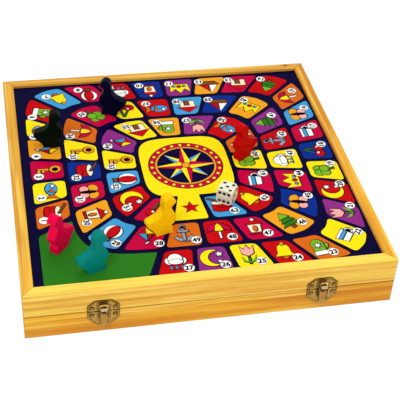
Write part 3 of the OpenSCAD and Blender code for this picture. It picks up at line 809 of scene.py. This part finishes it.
def cherries():
    return [([(-0.36, -0.2), (-0.28, -0.2), (0.24, 0.85), (0.14, 0.85)], "green"),
            ([(0.36, -0.3), (0.44, -0.3), (0.26, 0.85), (0.16, 0.85)], "green"),
            (disc(-0.36, -0.4, 0.38), "red"), (disc(0.42, -0.45, 0.36), "red"),
            (disc(-0.24, -0.28, 0.1), "white"), (disc(0.54, -0.34, 0.09), "white")]


def cloud():
    drops = [([(x, -0.45), (x + 0.12, -0.75), (x - 0.08, -0.75)], "sky") for x in (-0.4, 0.0, 0.4)]
    return drops + [(disc(-0.4, 0.05, 0.36), "white"), (disc(0.42, 0.05, 0.34), "white"),
                    (disc(0, 0.25, 0.5), "white"), (disc(0, -0.05, 0.5, 0.5), "white")]


def drum():
    return [(box_outline(-0.7, 0.3, 0.7, -0.5), "red"),
            (disc(0, -0.5, 0.7, 0.3), "red"), (disc(0, 0.3, 0.7, 0.3), "cream"),
            ([(-0.95, 0.85), (-0.88, 0.95), (0.1, 0.42), (0.05, 0.32)], "brown")]


def fish():
    return [([(0.35, 0.05), (0.95, 0.5), (0.85, 0), (0.95, -0.5)], "orange"),
            (disc(-0.2, 0, 0.7, 0.62), "sky"), (disc(-0.55, 0.12, 0.13), "white"),
            ([(-0.15, 0.1), (0.2, 0.25), (0.1, -0.2)], "orange")]


def tulip():
    return [(box_outline(-0.06, -0.95, 0.06, 0), "green"),
            ([(0, -0.85), (0.6, -0.1), (0.45, -0.65)], "lime"),
            ([(0, -0.85), (-0.6, -0.2), (-0.42, -0.7)], "lime"),
            ([(-0.5, 0.9), (-0.22, 0.5), (0, 0.95), (0.22, 0.5), (0.5, 0.9), (0.42, 0.1), (0, -0.15),
              (-0.42, 0.1)], "pink")]


def anchor():
    hook = arc(0, -0.1, 0.75, 200, 340, 14) + arc(0, 0.05, 0.58, 335, 205, 14)
    return [(disc(0, 0.72, 0.22), "grey"), (disc(0, 0.72, 0.09), "black"),
            (hook, "grey"), (box_outline(-0.1, -0.7, 0.1, 0.55), "grey"),
            (box_outline(-0.4, 0.2, 0.4, 0.36), "grey")]


def lantern():
    return [(box_outline(-0.45, -0.75, 0.45, -0.55), "red"),
            ([(-0.38, -0.55), (0.38, -0.55), (0.48, 0.35), (-0.48, 0.35)], "cream"),
            (disc(0, -0.15, 0.14, 2.0), "orange"),
            ([(-0.6, 0.35), (0.6, 0.35), (0.2, 0.75), (-0.2, 0.75)], "red"),
            (disc(0, 0.85, 0.12), "white")]


def mitten():
    return [(disc(0.5, -0.05, 0.34, 0.55, 50), "lime"),
            (arc(0, 0.3, 0.45, 0, 180, 12) + [(-0.42, -0.5), (0.4, -0.5)], "lime"),
            (box_outline(-0.5, -0.85, 0.48, -0.48), "white"),
            (star(0, 0.15, 0.26, 0.1, 6), "white")]


EMBLEMS = [fish, tulip, anchor, lantern, mitten, moon, sail_boat, fir_tree, clover, house, umbrella,
           key, bell, kite, balloon, cup, butterfly, crown, cherries, cloud, drum]
print(len(EMBLEMS), "emblems")

# %% [markdown]
# ## Numbers
#
# The tiles are numbered from 1 to 63. Blender's own font gives the digits. Each number is
# a text curve that is turned into a mesh once, and its faces are then copied on to the
# sheet, so no text object is left behind. Board numbers are bold. The font's own way to
# thicken a letter breaks the small holes of an 8, so a line is drawn along each outline
# instead: an outline edge is one that only a single face uses.

# %% Numbers as flat faces
FONT_PER_HEIGHT, DIGIT_SPACING = 1.35, 1.06


def number_faces(value, height, bold):
    """The filled outlines of a number, centred on the origin, with a line along each."""
    text = bpy.data.curves.new("number", "FONT")
    text.body = str(value)
    text.align_x, text.align_y = "CENTER", "CENTER"
    text.size = height * FONT_PER_HEIGHT
    text.space_character = DIGIT_SPACING
    text.resolution_u = 4
    holder = bpy.data.objects.new("number", text)
    bpy.context.scene.collection.objects.link(holder)
    mesh = holder.evaluated_get(bpy.context.evaluated_depsgraph_get()).to_mesh()
    xs, ys = [v.co.x for v in mesh.vertices], [v.co.y for v in mesh.vertices]
    middle = Vector((min(xs) + max(xs), min(ys) + max(ys))) / 2
    places = [v.co.xy - middle for v in mesh.vertices]
    faces = [[tuple(places[i]) for i in face.vertices] for face in mesh.polygons]
    uses = Counter(edge for face in mesh.polygons for edge in face.edge_keys)
    for start, end in (edge for edge, count in uses.items() if count == 1):
        along = (places[end] - places[start]).normalized() * bold
        across = Vector((-along.y, along.x))
        a, b = places[start] - along * 0.5, places[end] + along * 0.5
        faces.append([tuple(p) for p in (a + across, b + across, b - across, a - across)])
    holder.to_mesh_clear()
    bpy.data.objects.remove(holder)
    bpy.data.curves.remove(text)
    return faces


def placed(points, x, y, turn, scale=1.0):
    """An outline turned, scaled and moved to its place."""
    c, s = math.cos(turn) * scale, math.sin(turn) * scale
    return [(x + px * c - py * s, y + px * s + py * c) for px, py in points]


print("number 63 has", len(number_faces(63, 5.0, 0.3)), "faces")

# %% [markdown]
# ## The race track
#
# A race game is a long lane that winds inwards. The lane here runs clockwise from a green
# start meadow in the near left corner and steps inwards each time it comes round to it.
# Each of its three rings is a square with soft corners, written as one formula of an
# angle, and the inner rings are rounder than the outer one. The drawing isn't quite
# centred on its sheet, as on the real one, and it is a little deeper than wide. A ring is
# cut into tiles at equal steps of length, because equal angles would stretch the tiles at
# the corners.

# %% The lane
TILE_W, LANE_GAP, EDGE_GAP = 31.5, 4.8, 5.5
BOARD_RIGHT, BOARD_DOWN, DEEPER = 3.5, 1.0, 3.0
LANE_HALF = field / MM - EDGE_GAP - TILE_W / 2
SQUARENESS = [8.0, 5.6, 4.6]
START_ANGLE, STEP_ANGLE, GATE_ANGLE = 208, -110, -443
RINGS = [(START_ANGLE, STEP_ANGLE, 27), (STEP_ANGLE, STEP_ANGLE - 360, 22),
         (STEP_ANGLE, GATE_ANGLE, 14)]


def lane(ring, angle, aside=0.0):
    """A point of a ring, aside millimetres outwards of the lane's middle line."""
    half = LANE_HALF - (TILE_W + LANE_GAP) * ring + aside
    c, s, power = math.cos(math.radians(angle)), math.sin(math.radians(angle)), SQUARENESS[ring]
    reach = (abs(c) ** power + abs(s) ** power) ** (-1 / power)
    return Vector((half * reach * c + BOARD_RIGHT, (half + DEEPER) * reach * s - BOARD_DOWN))


def cut_ring(ring, start, end, count, fine=4000):
    """The tiles of a ring, each as the angles of its start, middle and end."""
    angles = [start + (end - start) * i / fine for i in range(fine + 1)]
    places = [lane(ring, angle) for angle in angles]
    runs = [0.0]
    for before, here in zip(places, places[1:]):
        runs.append(runs[-1] + (here - before).length)
    pitch = runs[-1] / count
    spots = (LANE_GAP / 2, pitch / 2, pitch - LANE_GAP / 2)
    return [[angles[bisect(runs, tile * pitch + spot)] for spot in spots] for tile in range(count)]


tiles = [(ring, cuts) for ring, (start, end, count) in enumerate(RINGS)
         for cuts in cut_ring(ring, start, end, count)]
print("the lane has", len(tiles), "tiles")

# %% [markdown]
# ## Drawing the goose board
#
# The tiles take their colours from a shuffled cycle, so that no two neighbours match. Each
# has a dark rim, an emblem and a white disc with its number, all turned so that their feet
# point to the nearest edge of the board. An emblem that uses the tile's own ink waits for
# another tile, so each picture stands out from its ground. A part of an emblem is laid
# three times: a little larger in black, then in its shaded ink, then in its full ink and
# shifted a little, so that a shaded side shows.

# %% The board's upper face
EMBLEM_SIZE, EMBLEM_ASIDE, EMBLEM_WAY = 12.8, 1.5, 2.2
EMBLEM_LINE, LIGHT_SHIFT, LIGHT_WAY = 1.0, 0.5, 2.4
NUMBER_DISC, NUMBER_ASIDE, NUMBER_WAY, NUMBER_LINE = 4.9, 12.8, -0.75, 0.35
DIGIT_SHARE, DIGIT_BOLD = 1.12, 0.36
TILE_ROUND, TILE_LINE = 5.0, 0.7
TILE_LAYER, EMBLEM_LAYER, NUMBER_LAYER = 1, 3, 16


def shifted(at, distance, way):
    """A place moved by a distance towards an angle in radians."""
    return at + Vector((math.cos(way), math.sin(way))) * distance


def draw_emblem(sheet, emblem, at, turn):
    """An emblem whose parts have a black line, a shaded side and a lit face."""
    light = shifted(Vector((0, 0)), LIGHT_SHIFT, turn + LIGHT_WAY)
    for layer, (points, ink) in enumerate(emblem(), EMBLEM_LAYER):
        shape = placed(points, at.x, at.y, turn, EMBLEM_SIZE)
        sheet.shape(grown(shape, EMBLEM_LINE), "black", layer)
        sheet.shape(shape, "shaded " + ink, layer + 0.35)
        sheet.shape(placed(shape, light.x, light.y, 0), ink, layer + 0.7)


def draw_number(sheet, value, at, turn):
    """A white disc with a thin black line round it and a number on it."""
    sheet.shape(disc(at.x, at.y, NUMBER_DISC + NUMBER_LINE), "black", NUMBER_LAYER)
    sheet.shape(disc(at.x, at.y, NUMBER_DISC), "white", NUMBER_LAYER + 1)
    for face in number_faces(value, NUMBER_DISC * DIGIT_SHARE, DIGIT_BOLD):
        sheet.shape(placed(face, at.x, at.y, turn), "black", NUMBER_LAYER + 2)


def draw_field(sheet, outline, ink, line, layer=TILE_LAYER):
    """A flat field with a black line round it."""
    sheet.shape(grown(outline, line), "black", layer)
    sheet.shape(outline, ink, layer + 1)


SHEET_LIFT = 0.08 * MM
goose_sheet = Sheet("goose_board_print", sheet_z + SHEET_LIFT, True)
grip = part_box("goose_board_print")[1].x / MM
goose_sheet.shape(box_outline(-grip, -grip, grip, grip), "navy", 0)
shuffle = random.Random(21)
TILE_INKS = ["yellow", "red", "purple", "sky", "crimson", "amber", "blue", "orange"]
deck, used, waiting = [], [], []
for number, (ring, cuts) in enumerate(tiles, 1):
    inner_side = [lane(ring, angle, -TILE_W / 2) for angle in cuts]
    outer_side = [lane(ring, angle, TILE_W / 2) for angle in cuts]
    tile = rounded([tuple(p) for p in inner_side + outer_side[::-1]], TILE_ROUND)
    if not deck:
        deck = TILE_INKS + ["yellow", "red", "crimson"]
        shuffle.shuffle(deck)
    ink = next((colour for colour in deck if colour not in used[-2:]), deck[0])
    deck.remove(ink)
    used.append(ink)
    draw_field(goose_sheet, tile, ink, TILE_LINE)
    middle = (inner_side[1] + outer_side[1]) / 2
    run = inner_side[2] + outer_side[2] - inner_side[0] - outer_side[0]
    outward = Vector((-run.y, run.x)).normalized()
    turn = math.atan2(outward.y, outward.x) + math.pi / 2
    if len(waiting) < 8:
        waiting += shuffle.sample(EMBLEMS, len(EMBLEMS))
    emblem = next(e for e in waiting if ink not in [part[1] for part in e()])
    waiting.remove(emblem)
    draw_emblem(goose_sheet, emblem, shifted(middle, EMBLEM_ASIDE, turn + EMBLEM_WAY), turn)
    draw_number(goose_sheet, number, shifted(middle, NUMBER_ASIDE, turn + NUMBER_WAY), turn)
print("tiles drawn,", used.count("yellow"), "are yellow")

# %% [markdown]
# The start meadow fills the corner outside the middle ring. Its inner side follows that
# ring, and its two ends are cut like the sides of a tile, at the first and last tile of
# the outer ring.

# %% The start meadow
END_GAP = 1.8
first, last = STEP_ANGLE - END_GAP, START_ANGLE - 360 + END_GAP
bank = [lane(1, first + (last - first) * i / 20, TILE_W / 2 + LANE_GAP) for i in range(21)]
left_top, right_end = lane(0, last, TILE_W / 2), lane(0, first, TILE_W / 2)
meadow = [tuple(p) for p in bank + [left_top, Vector((left_top.x, right_end.y)), right_end]]
meadow = rounded(meadow, 4.0, 3)
draw_field(goose_sheet, meadow, "green", TILE_LINE)
print("meadow from", round(left_top.x), "to", round(right_end.x))

# %% [markdown]
# The middle holds a compass rose, an old ornament that suits a round of travel. It is
# drawn from the outside in: a panel with a gate for the last move, five rings, a circle
# of gold coins and eight points, each split into a light and a dark half.

# %% The middle of the board
PANEL_LINE, ROSE_LINE, ROSE_SHARE = 0.8, 0.6, 0.85
COINS, COIN, COIN_LINE = 24, 1.6, 0.4
side_gap = 2.0
gate = [STEP_ANGLE - 360 + side_gap, (STEP_ANGLE - 360 + GATE_ANGLE) / 2, GATE_ANGLE - side_gap]
panel = [lane(2, angle, -TILE_W / 2 - LANE_GAP) for angle in range(int(gate[2]), int(gate[0]) + 361, 5)]
panel += [lane(2, angle, TILE_W / 2) for angle in gate]
panel = rounded([tuple(p) for p in panel], 3.0, 3)
draw_field(goose_sheet, panel, "yellow", PANEL_LINE)
ROSE = ROSE_SHARE * (lane(2, 0, -TILE_W / 2 - LANE_GAP).x - BOARD_RIGHT)


def rose_shape(points, ink, layer):
    """A shape round the middle of the drawing."""
    goose_sheet.shape(placed(points, BOARD_RIGHT, -BOARD_DOWN, 0), ink, layer)


rose_rings = [(0, "black"), (0.9, "crimson"), (6.5, "black"), (7.2, "amber"), (9.0, "navy")]
for layer, (inwards, ink) in enumerate(rose_rings, 3):
    rose_shape(disc(0, 0, ROSE - inwards, count=72), ink, layer)
coin_circle = ROSE - 3.7
for i in range(COINS):
    a = 2 * math.pi * i / COINS
    x, y = coin_circle * math.cos(a), coin_circle * math.sin(a)
    rose_shape(disc(x, y, COIN + COIN_LINE), "black", 8)
    rose_shape(disc(x, y, COIN), "yellow", 9)
for ring, (reach, waist, turn) in enumerate([(ROSE - 11, 7.5, 45), (ROSE - 5, 8.0, 0)]):
    layer = 10 + 3 * ring
    for i in range(4):
        a = math.radians(turn + 90 * i)
        tip = (reach * math.cos(a), reach * math.sin(a))
        sides = [(waist * math.cos(a + s * math.pi / 4), waist * math.sin(a + s * math.pi / 4))
                 for s in (-1, 1)]
        whole = [(0, 0), sides[0], tip, sides[1]]
        rose_shape(grown(whole, ROSE_LINE), "black", layer)
        rose_shape([(0, 0), sides[0], tip], "yellow", layer + 1)
        rose_shape([(0, 0), tip, sides[1]], "crimson" if ring else "sky", layer + 1)
rose_shape(disc(0, 0, 4.6), "black", 17)
rose_shape(disc(0, 0, 3.8), "amber", 18)
gate_middle = lane(2, gate[1], -2.0)
flag = placed(star(0, 0, 8.5, 3.6, 5), gate_middle.x, gate_middle.y, 0)
draw_field(goose_sheet, flag, "red", ROSE_LINE, layer=3)
goose_sheet.make(board_print, "lid", "goose_board_print")

# %% [markdown]
# ## The ludo board
#
# The other tray carries a ludo board, which faces the table here. It is the traditional
# cross: fifteen squares each way, four yards with four parking rings, four home lanes in
# the players' colours and four triangles in the middle.

# %% The board's lower face
ludo = Sheet("ludo_board_print", under_back_z - SHEET_LIFT, False)
ludo.shape(box_outline(-grip, -grip, grip, grip), "cream", 0)
LUDO_MARGIN, LUDO_BORDER, LUDO_LINE, CELL_LINE = 13, 2.5, 0.4, 0.35
CELL = (field / MM - LUDO_MARGIN) * 2 / 15
PLAYERS = ["red", "green", "yellow", "blue"]


def player_shape(player, points, ink, layer):
    """A shape drawn for the first player and turned to the side of the given one."""
    for _ in range(player):
        points = [(-y, x) for x, y in points]
    ludo.shape(points, ink, layer)


edge = 7.5 * CELL
inner_field = box_outline(-edge, -edge, edge, edge)
ludo.shape(grown(inner_field, LUDO_BORDER), "brown", 1)
ludo.shape(inner_field, "white", 2)
for player, ink in enumerate(PLAYERS):
    yard = box_outline(-edge, -edge, -1.5 * CELL, -1.5 * CELL)
    court = rounded(box_outline(-edge + CELL, -edge + CELL, -2.5 * CELL, -2.5 * CELL), 6)
    player_shape(player, yard, "black", 3)
    player_shape(player, grown(yard, -LUDO_LINE), ink, 4)
    player_shape(player, grown(court, LUDO_LINE), "black", 5)
    player_shape(player, court, "white", 6)
    for i, j in ((-1, -1), (-1, 1), (1, -1), (1, 1)):
        spot = disc((-4.5 + i) * CELL, (-4.5 + j) * CELL, 0.62 * CELL)
        player_shape(player, grown(spot, LUDO_LINE), "black", 7)
        player_shape(player, spot, ink, 8)
    for column in range(3):
        for row in range(6):
            x0, y0 = (column - 1.5) * CELL, -edge + row * CELL
            home = (column == 1 and row > 0) or (column == 0 and row == 1)
            cell = box_outline(x0, y0, x0 + CELL, y0 + CELL)
            player_shape(player, cell, "black", 3)
            player_shape(player, grown(cell, -CELL_LINE), ink if home else "cream", 4)
    safe = star(CELL, -edge + 2.5 * CELL, 0.4 * CELL, 0.17 * CELL, 5)
    player_shape(player, safe, ink, 5)
    wedge = [(-1.5 * CELL, -1.5 * CELL), (1.5 * CELL, -1.5 * CELL), (0, 0)]
    player_shape(player, wedge, "black", 3)
    player_shape(player, grown(wedge, -CELL_LINE), ink, 4)
ludo.make(board_print, "base", "ludo_board_print")

# %% [markdown]
# ## Lacquered geese
#
# The playing pieces are sawn from thin board, so their edges are crisp, but dipping in
# lacquer leaves each edge a little round and glossy. A copy of the sawn shape gets a small
# bevel, which is what catches the light on a real edge. The lacquer is a clear coat over
# paint, with faint ripples where it ran.

# %% Geese
def lacquer(name, colour, dark, seed):
    """Gloss paint whose tone follows the grain of the wood under it."""
    paint = Finish(name)
    ripple = paint.noise(paint.place, 110, detail=2, distortion=0.3)
    grain = paint.noise(paint.vector(paint.x * 220 + seed, paint.y * 220, paint.z * 900), 1.0, detail=3)
    tint = paint.mix(grain.ramp(0.4, 0.75, 0.0, 0.4), colour, dark)
    return paint.finish(bump=ripple * 0.5 + grain * 0.5, depth=0.06, Base_Color=tint,
                        Roughness=grain * 0.12 + 0.36, Specular_IOR_Level=0.02,
                        Coat_Weight=0.06, Coat_Roughness=0.12)


SAME_PLACE = 0.0001 * MM


def softened(node, name, width, slot_name, material, sharper_than=32):
    """A copy of a part with its sharp edges rounded, standing in the part's own place."""
    source = frame["nodes"][node]
    mesh = source.data.copy()
    work = bmesh.new()
    work.from_mesh(mesh)
    bmesh.ops.remove_doubles(work, verts=work.verts, dist=SAME_PLACE)
    work.to_mesh(mesh)
    work.free()
    piece = bpy.data.objects.new(name, mesh)
    bpy.context.scene.collection.objects.link(piece)
    bevel = piece.modifiers.new("edge", "BEVEL")
    bevel.width, bevel.segments = width * MM, 3
    bevel.limit_method, bevel.angle_limit = "ANGLE", math.radians(sharper_than)
    mesh.shade_smooth()
    mesh.set_sharp_from_angle(angle=math.radians(sharper_than))
    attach(piece, source["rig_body"])
    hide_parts(node)
    mesh.materials.clear()
    mesh.materials.append(material)
    return piece


GOOSE_ROUND, DIE_ROUND = 0.7, 0.35
GEESE = {
    "yellow": (linear(255, 200, 6), linear(238, 170, 0)),
    "red": (linear(196, 0, 0), linear(160, 0, 2)),
    "magenta": (linear(232, 0, 67), linear(202, 0, 57)),
    "teal": (linear(0, 128, 118), linear(0, 106, 102)),
    "blue": (linear(2, 4, 34), linear(0, 2, 20)),
    "green": (linear(1, 16, 8), linear(0, 8, 5)),
}
for seed, (name, (colour, dark)) in enumerate(GEESE.items()):
    softened(name + "_goose", name + "_goose_piece", GOOSE_ROUND, name + "_paint",
             lacquer(name + "_lacquer", colour, dark, seed))
print(len(GEESE), "geese lacquered")

# %% [markdown]
# ## The die
#
# The die is moulded in an ivory-coloured plastic, and its spots are small dimples filled
# with black paint. The dimples are in the model already, so only their faces have to be
# found: they lie a little below the six flat sides, and near one of the nine places that
# a spot can have on a side.

# %% The die
ivory = Finish("ivory_plastic")
haze = ivory.noise(ivory.place, 160, detail=3)
pits = ivory.noise(ivory.place, 1800, detail=2)
ivory_colour = ivory.mix(haze.ramp(0.35, 0.7, 0, 0.45), linear(229, 230, 204), linear(214, 210, 174))
ivory_plastic = ivory.finish(bump=pits, depth=0.02, Base_Color=ivory_colour, Roughness=haze * 0.1 + 0.28,
                             Coat_Weight=0.2, Coat_Roughness=0.1)
spot = Finish("spot_paint")
spot_mottle = spot.noise(spot.place, 900, detail=2)
spot_paint = spot.finish(Base_Color=spot.mix(spot_mottle, linear(8, 8, 10), linear(26, 24, 26)),
                         Roughness=spot_mottle * 0.15 + 0.3)

die_low, die_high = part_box("die")
die_middle = (die_low + die_high) / 2
die_edge = die_high.z - die_low.z
die_piece = softened("die", "die_piece", DIE_ROUND, "die_ivory", ivory_plastic, 40)
die_piece.data.materials.append(spot_paint)
DIE_TURN = math.radians(-34)
SPOT_STEP, SPOT_REACH = 0.285 * die_edge, 0.11 * die_edge
SKIN, DIMPLE = 0.001 * MM, 0.6 * MM
turned_back = Matrix.Rotation(-DIE_TURN, 3, "Z")
spots_found = 0
for face in die_piece.data.polygons:
    at = turned_back @ (face.center - die_middle)
    across, along, out = sorted((abs(at.x), abs(at.y), abs(at.z)))
    deep = die_edge / 2 - out
    astray = min(math.hypot(across - i * SPOT_STEP, along - j * SPOT_STEP)
                 for i in (0, 1) for j in (0, 1))
    if SKIN < deep < DIMPLE and astray < SPOT_REACH:
        face.material_index = 1
        spots_found += 1
print("die edge", round(die_edge / MM, 1), "mm,", spots_found, "faces painted black")

# %% [markdown]
# ## The studio
#
# The photograph is a catalogue picture on plain white, with soft light from above and in
# front. The floor and the world are white only to the camera and to mirror rays, so that
# no extra light falls on the object. The floor keeps a faint shadow, which says that
# the case stands on something.

# %% Floor, world and lamps
FLOOR_HALF, FLOOR_DROP, LAMPS_AIM = 6.0, 0.02 * MM, Vector((0, 0, 0.03))


def studio_floor():
    """A floor that is white to the camera and to mirror rays, and pale grey to other light."""
    floor = Finish("studio_floor")
    path = floor.node("ShaderNodeLightPath").link.node.outputs
    seen = Socket(floor, path["Is Camera Ray"]).larger(Socket(floor, path["Is Glossy Ray"]))
    plain = floor.node("ShaderNodeBsdfDiffuse", {}, {"Color": (0.8, 0.8, 0.8, 1)})
    grey = floor.node("ShaderNodeBsdfDiffuse", {}, {"Color": (0.15, 0.15, 0.15, 1)})
    glow = floor.node("ShaderNodeEmission", {}, {"Color": (1, 1, 1, 1), "Strength": 0.92})
    bright = floor.node("ShaderNodeAddShader", {}, {0: grey, 1: glow})
    both = floor.node("ShaderNodeMixShader", {}, {0: seen, 1: plain, 2: bright})
    out = floor.tree.nodes["Material Output"]
    floor.tree.links.new(both.link, out.inputs["Surface"])
    mesh = bpy.data.meshes.new("floor")
    corners = box_outline(-FLOOR_HALF, -FLOOR_HALF, FLOOR_HALF, FLOOR_HALF)
    mesh.from_pydata([(x, y, 0) for x, y in corners], [], [(0, 1, 2, 3)])
    mesh.materials.append(floor.material)
    piece = bpy.data.objects.new("floor", mesh)
    bpy.context.scene.collection.objects.link(piece)
    piece.location.z = low.z - FLOOR_DROP


def studio_world(strength):
    """Soft light from all round, which the camera and mirror rays see as plain white."""
    world = bpy.data.worlds.new("studio")
    bpy.context.scene.world = world
    world.use_nodes = True
    nodes, links = world.node_tree.nodes, world.node_tree.links
    soft, white = nodes["Background"], nodes.new("ShaderNodeBackground")
    for background, level in ((soft, strength), (white, 1.0)):
        background.inputs["Color"].default_value = (1, 1, 1, 1)
        background.inputs["Strength"].default_value = level
    path = nodes.new("ShaderNodeLightPath")
    either = nodes.new("ShaderNodeMath")
    either.operation = "MAXIMUM"
    links.new(path.outputs["Is Camera Ray"], either.inputs[0])
    links.new(path.outputs["Is Glossy Ray"], either.inputs[1])
    mixer = nodes.new("ShaderNodeMixShader")
    links.new(either.outputs[0], mixer.inputs[0])
    links.new(soft.outputs[0], mixer.inputs[1])
    links.new(white.outputs[0], mixer.inputs[2])
    links.new(mixer.outputs[0], nodes["World Output"].inputs["Surface"])


def lamp(name, at, size, power):
    """A square soft box that looks at the middle of the case."""
    data = bpy.data.lights.new(name, "AREA")
    data.shape, data.size = "SQUARE", size
    data.energy = power
    light = bpy.data.objects.new(name, data)
    bpy.context.scene.collection.objects.link(light)
    light.location = at
    light.rotation_mode = "QUATERNION"
    light.rotation_quaternion = (Vector(at) - LAMPS_AIM).to_track_quat("Z", "Y")


studio_floor()
studio_world(0.55)
lamp("key", (-0.9, -1.3, 1.7), 0.9, 22)
lamp("fill", (1.4, -0.9, 1.2), 1.2, 9)
lamp("top", (0.2, 0.6, 2.0), 1.2, 10)
bpy.context.scene.view_settings.view_transform = "Standard"
print("studio lit")
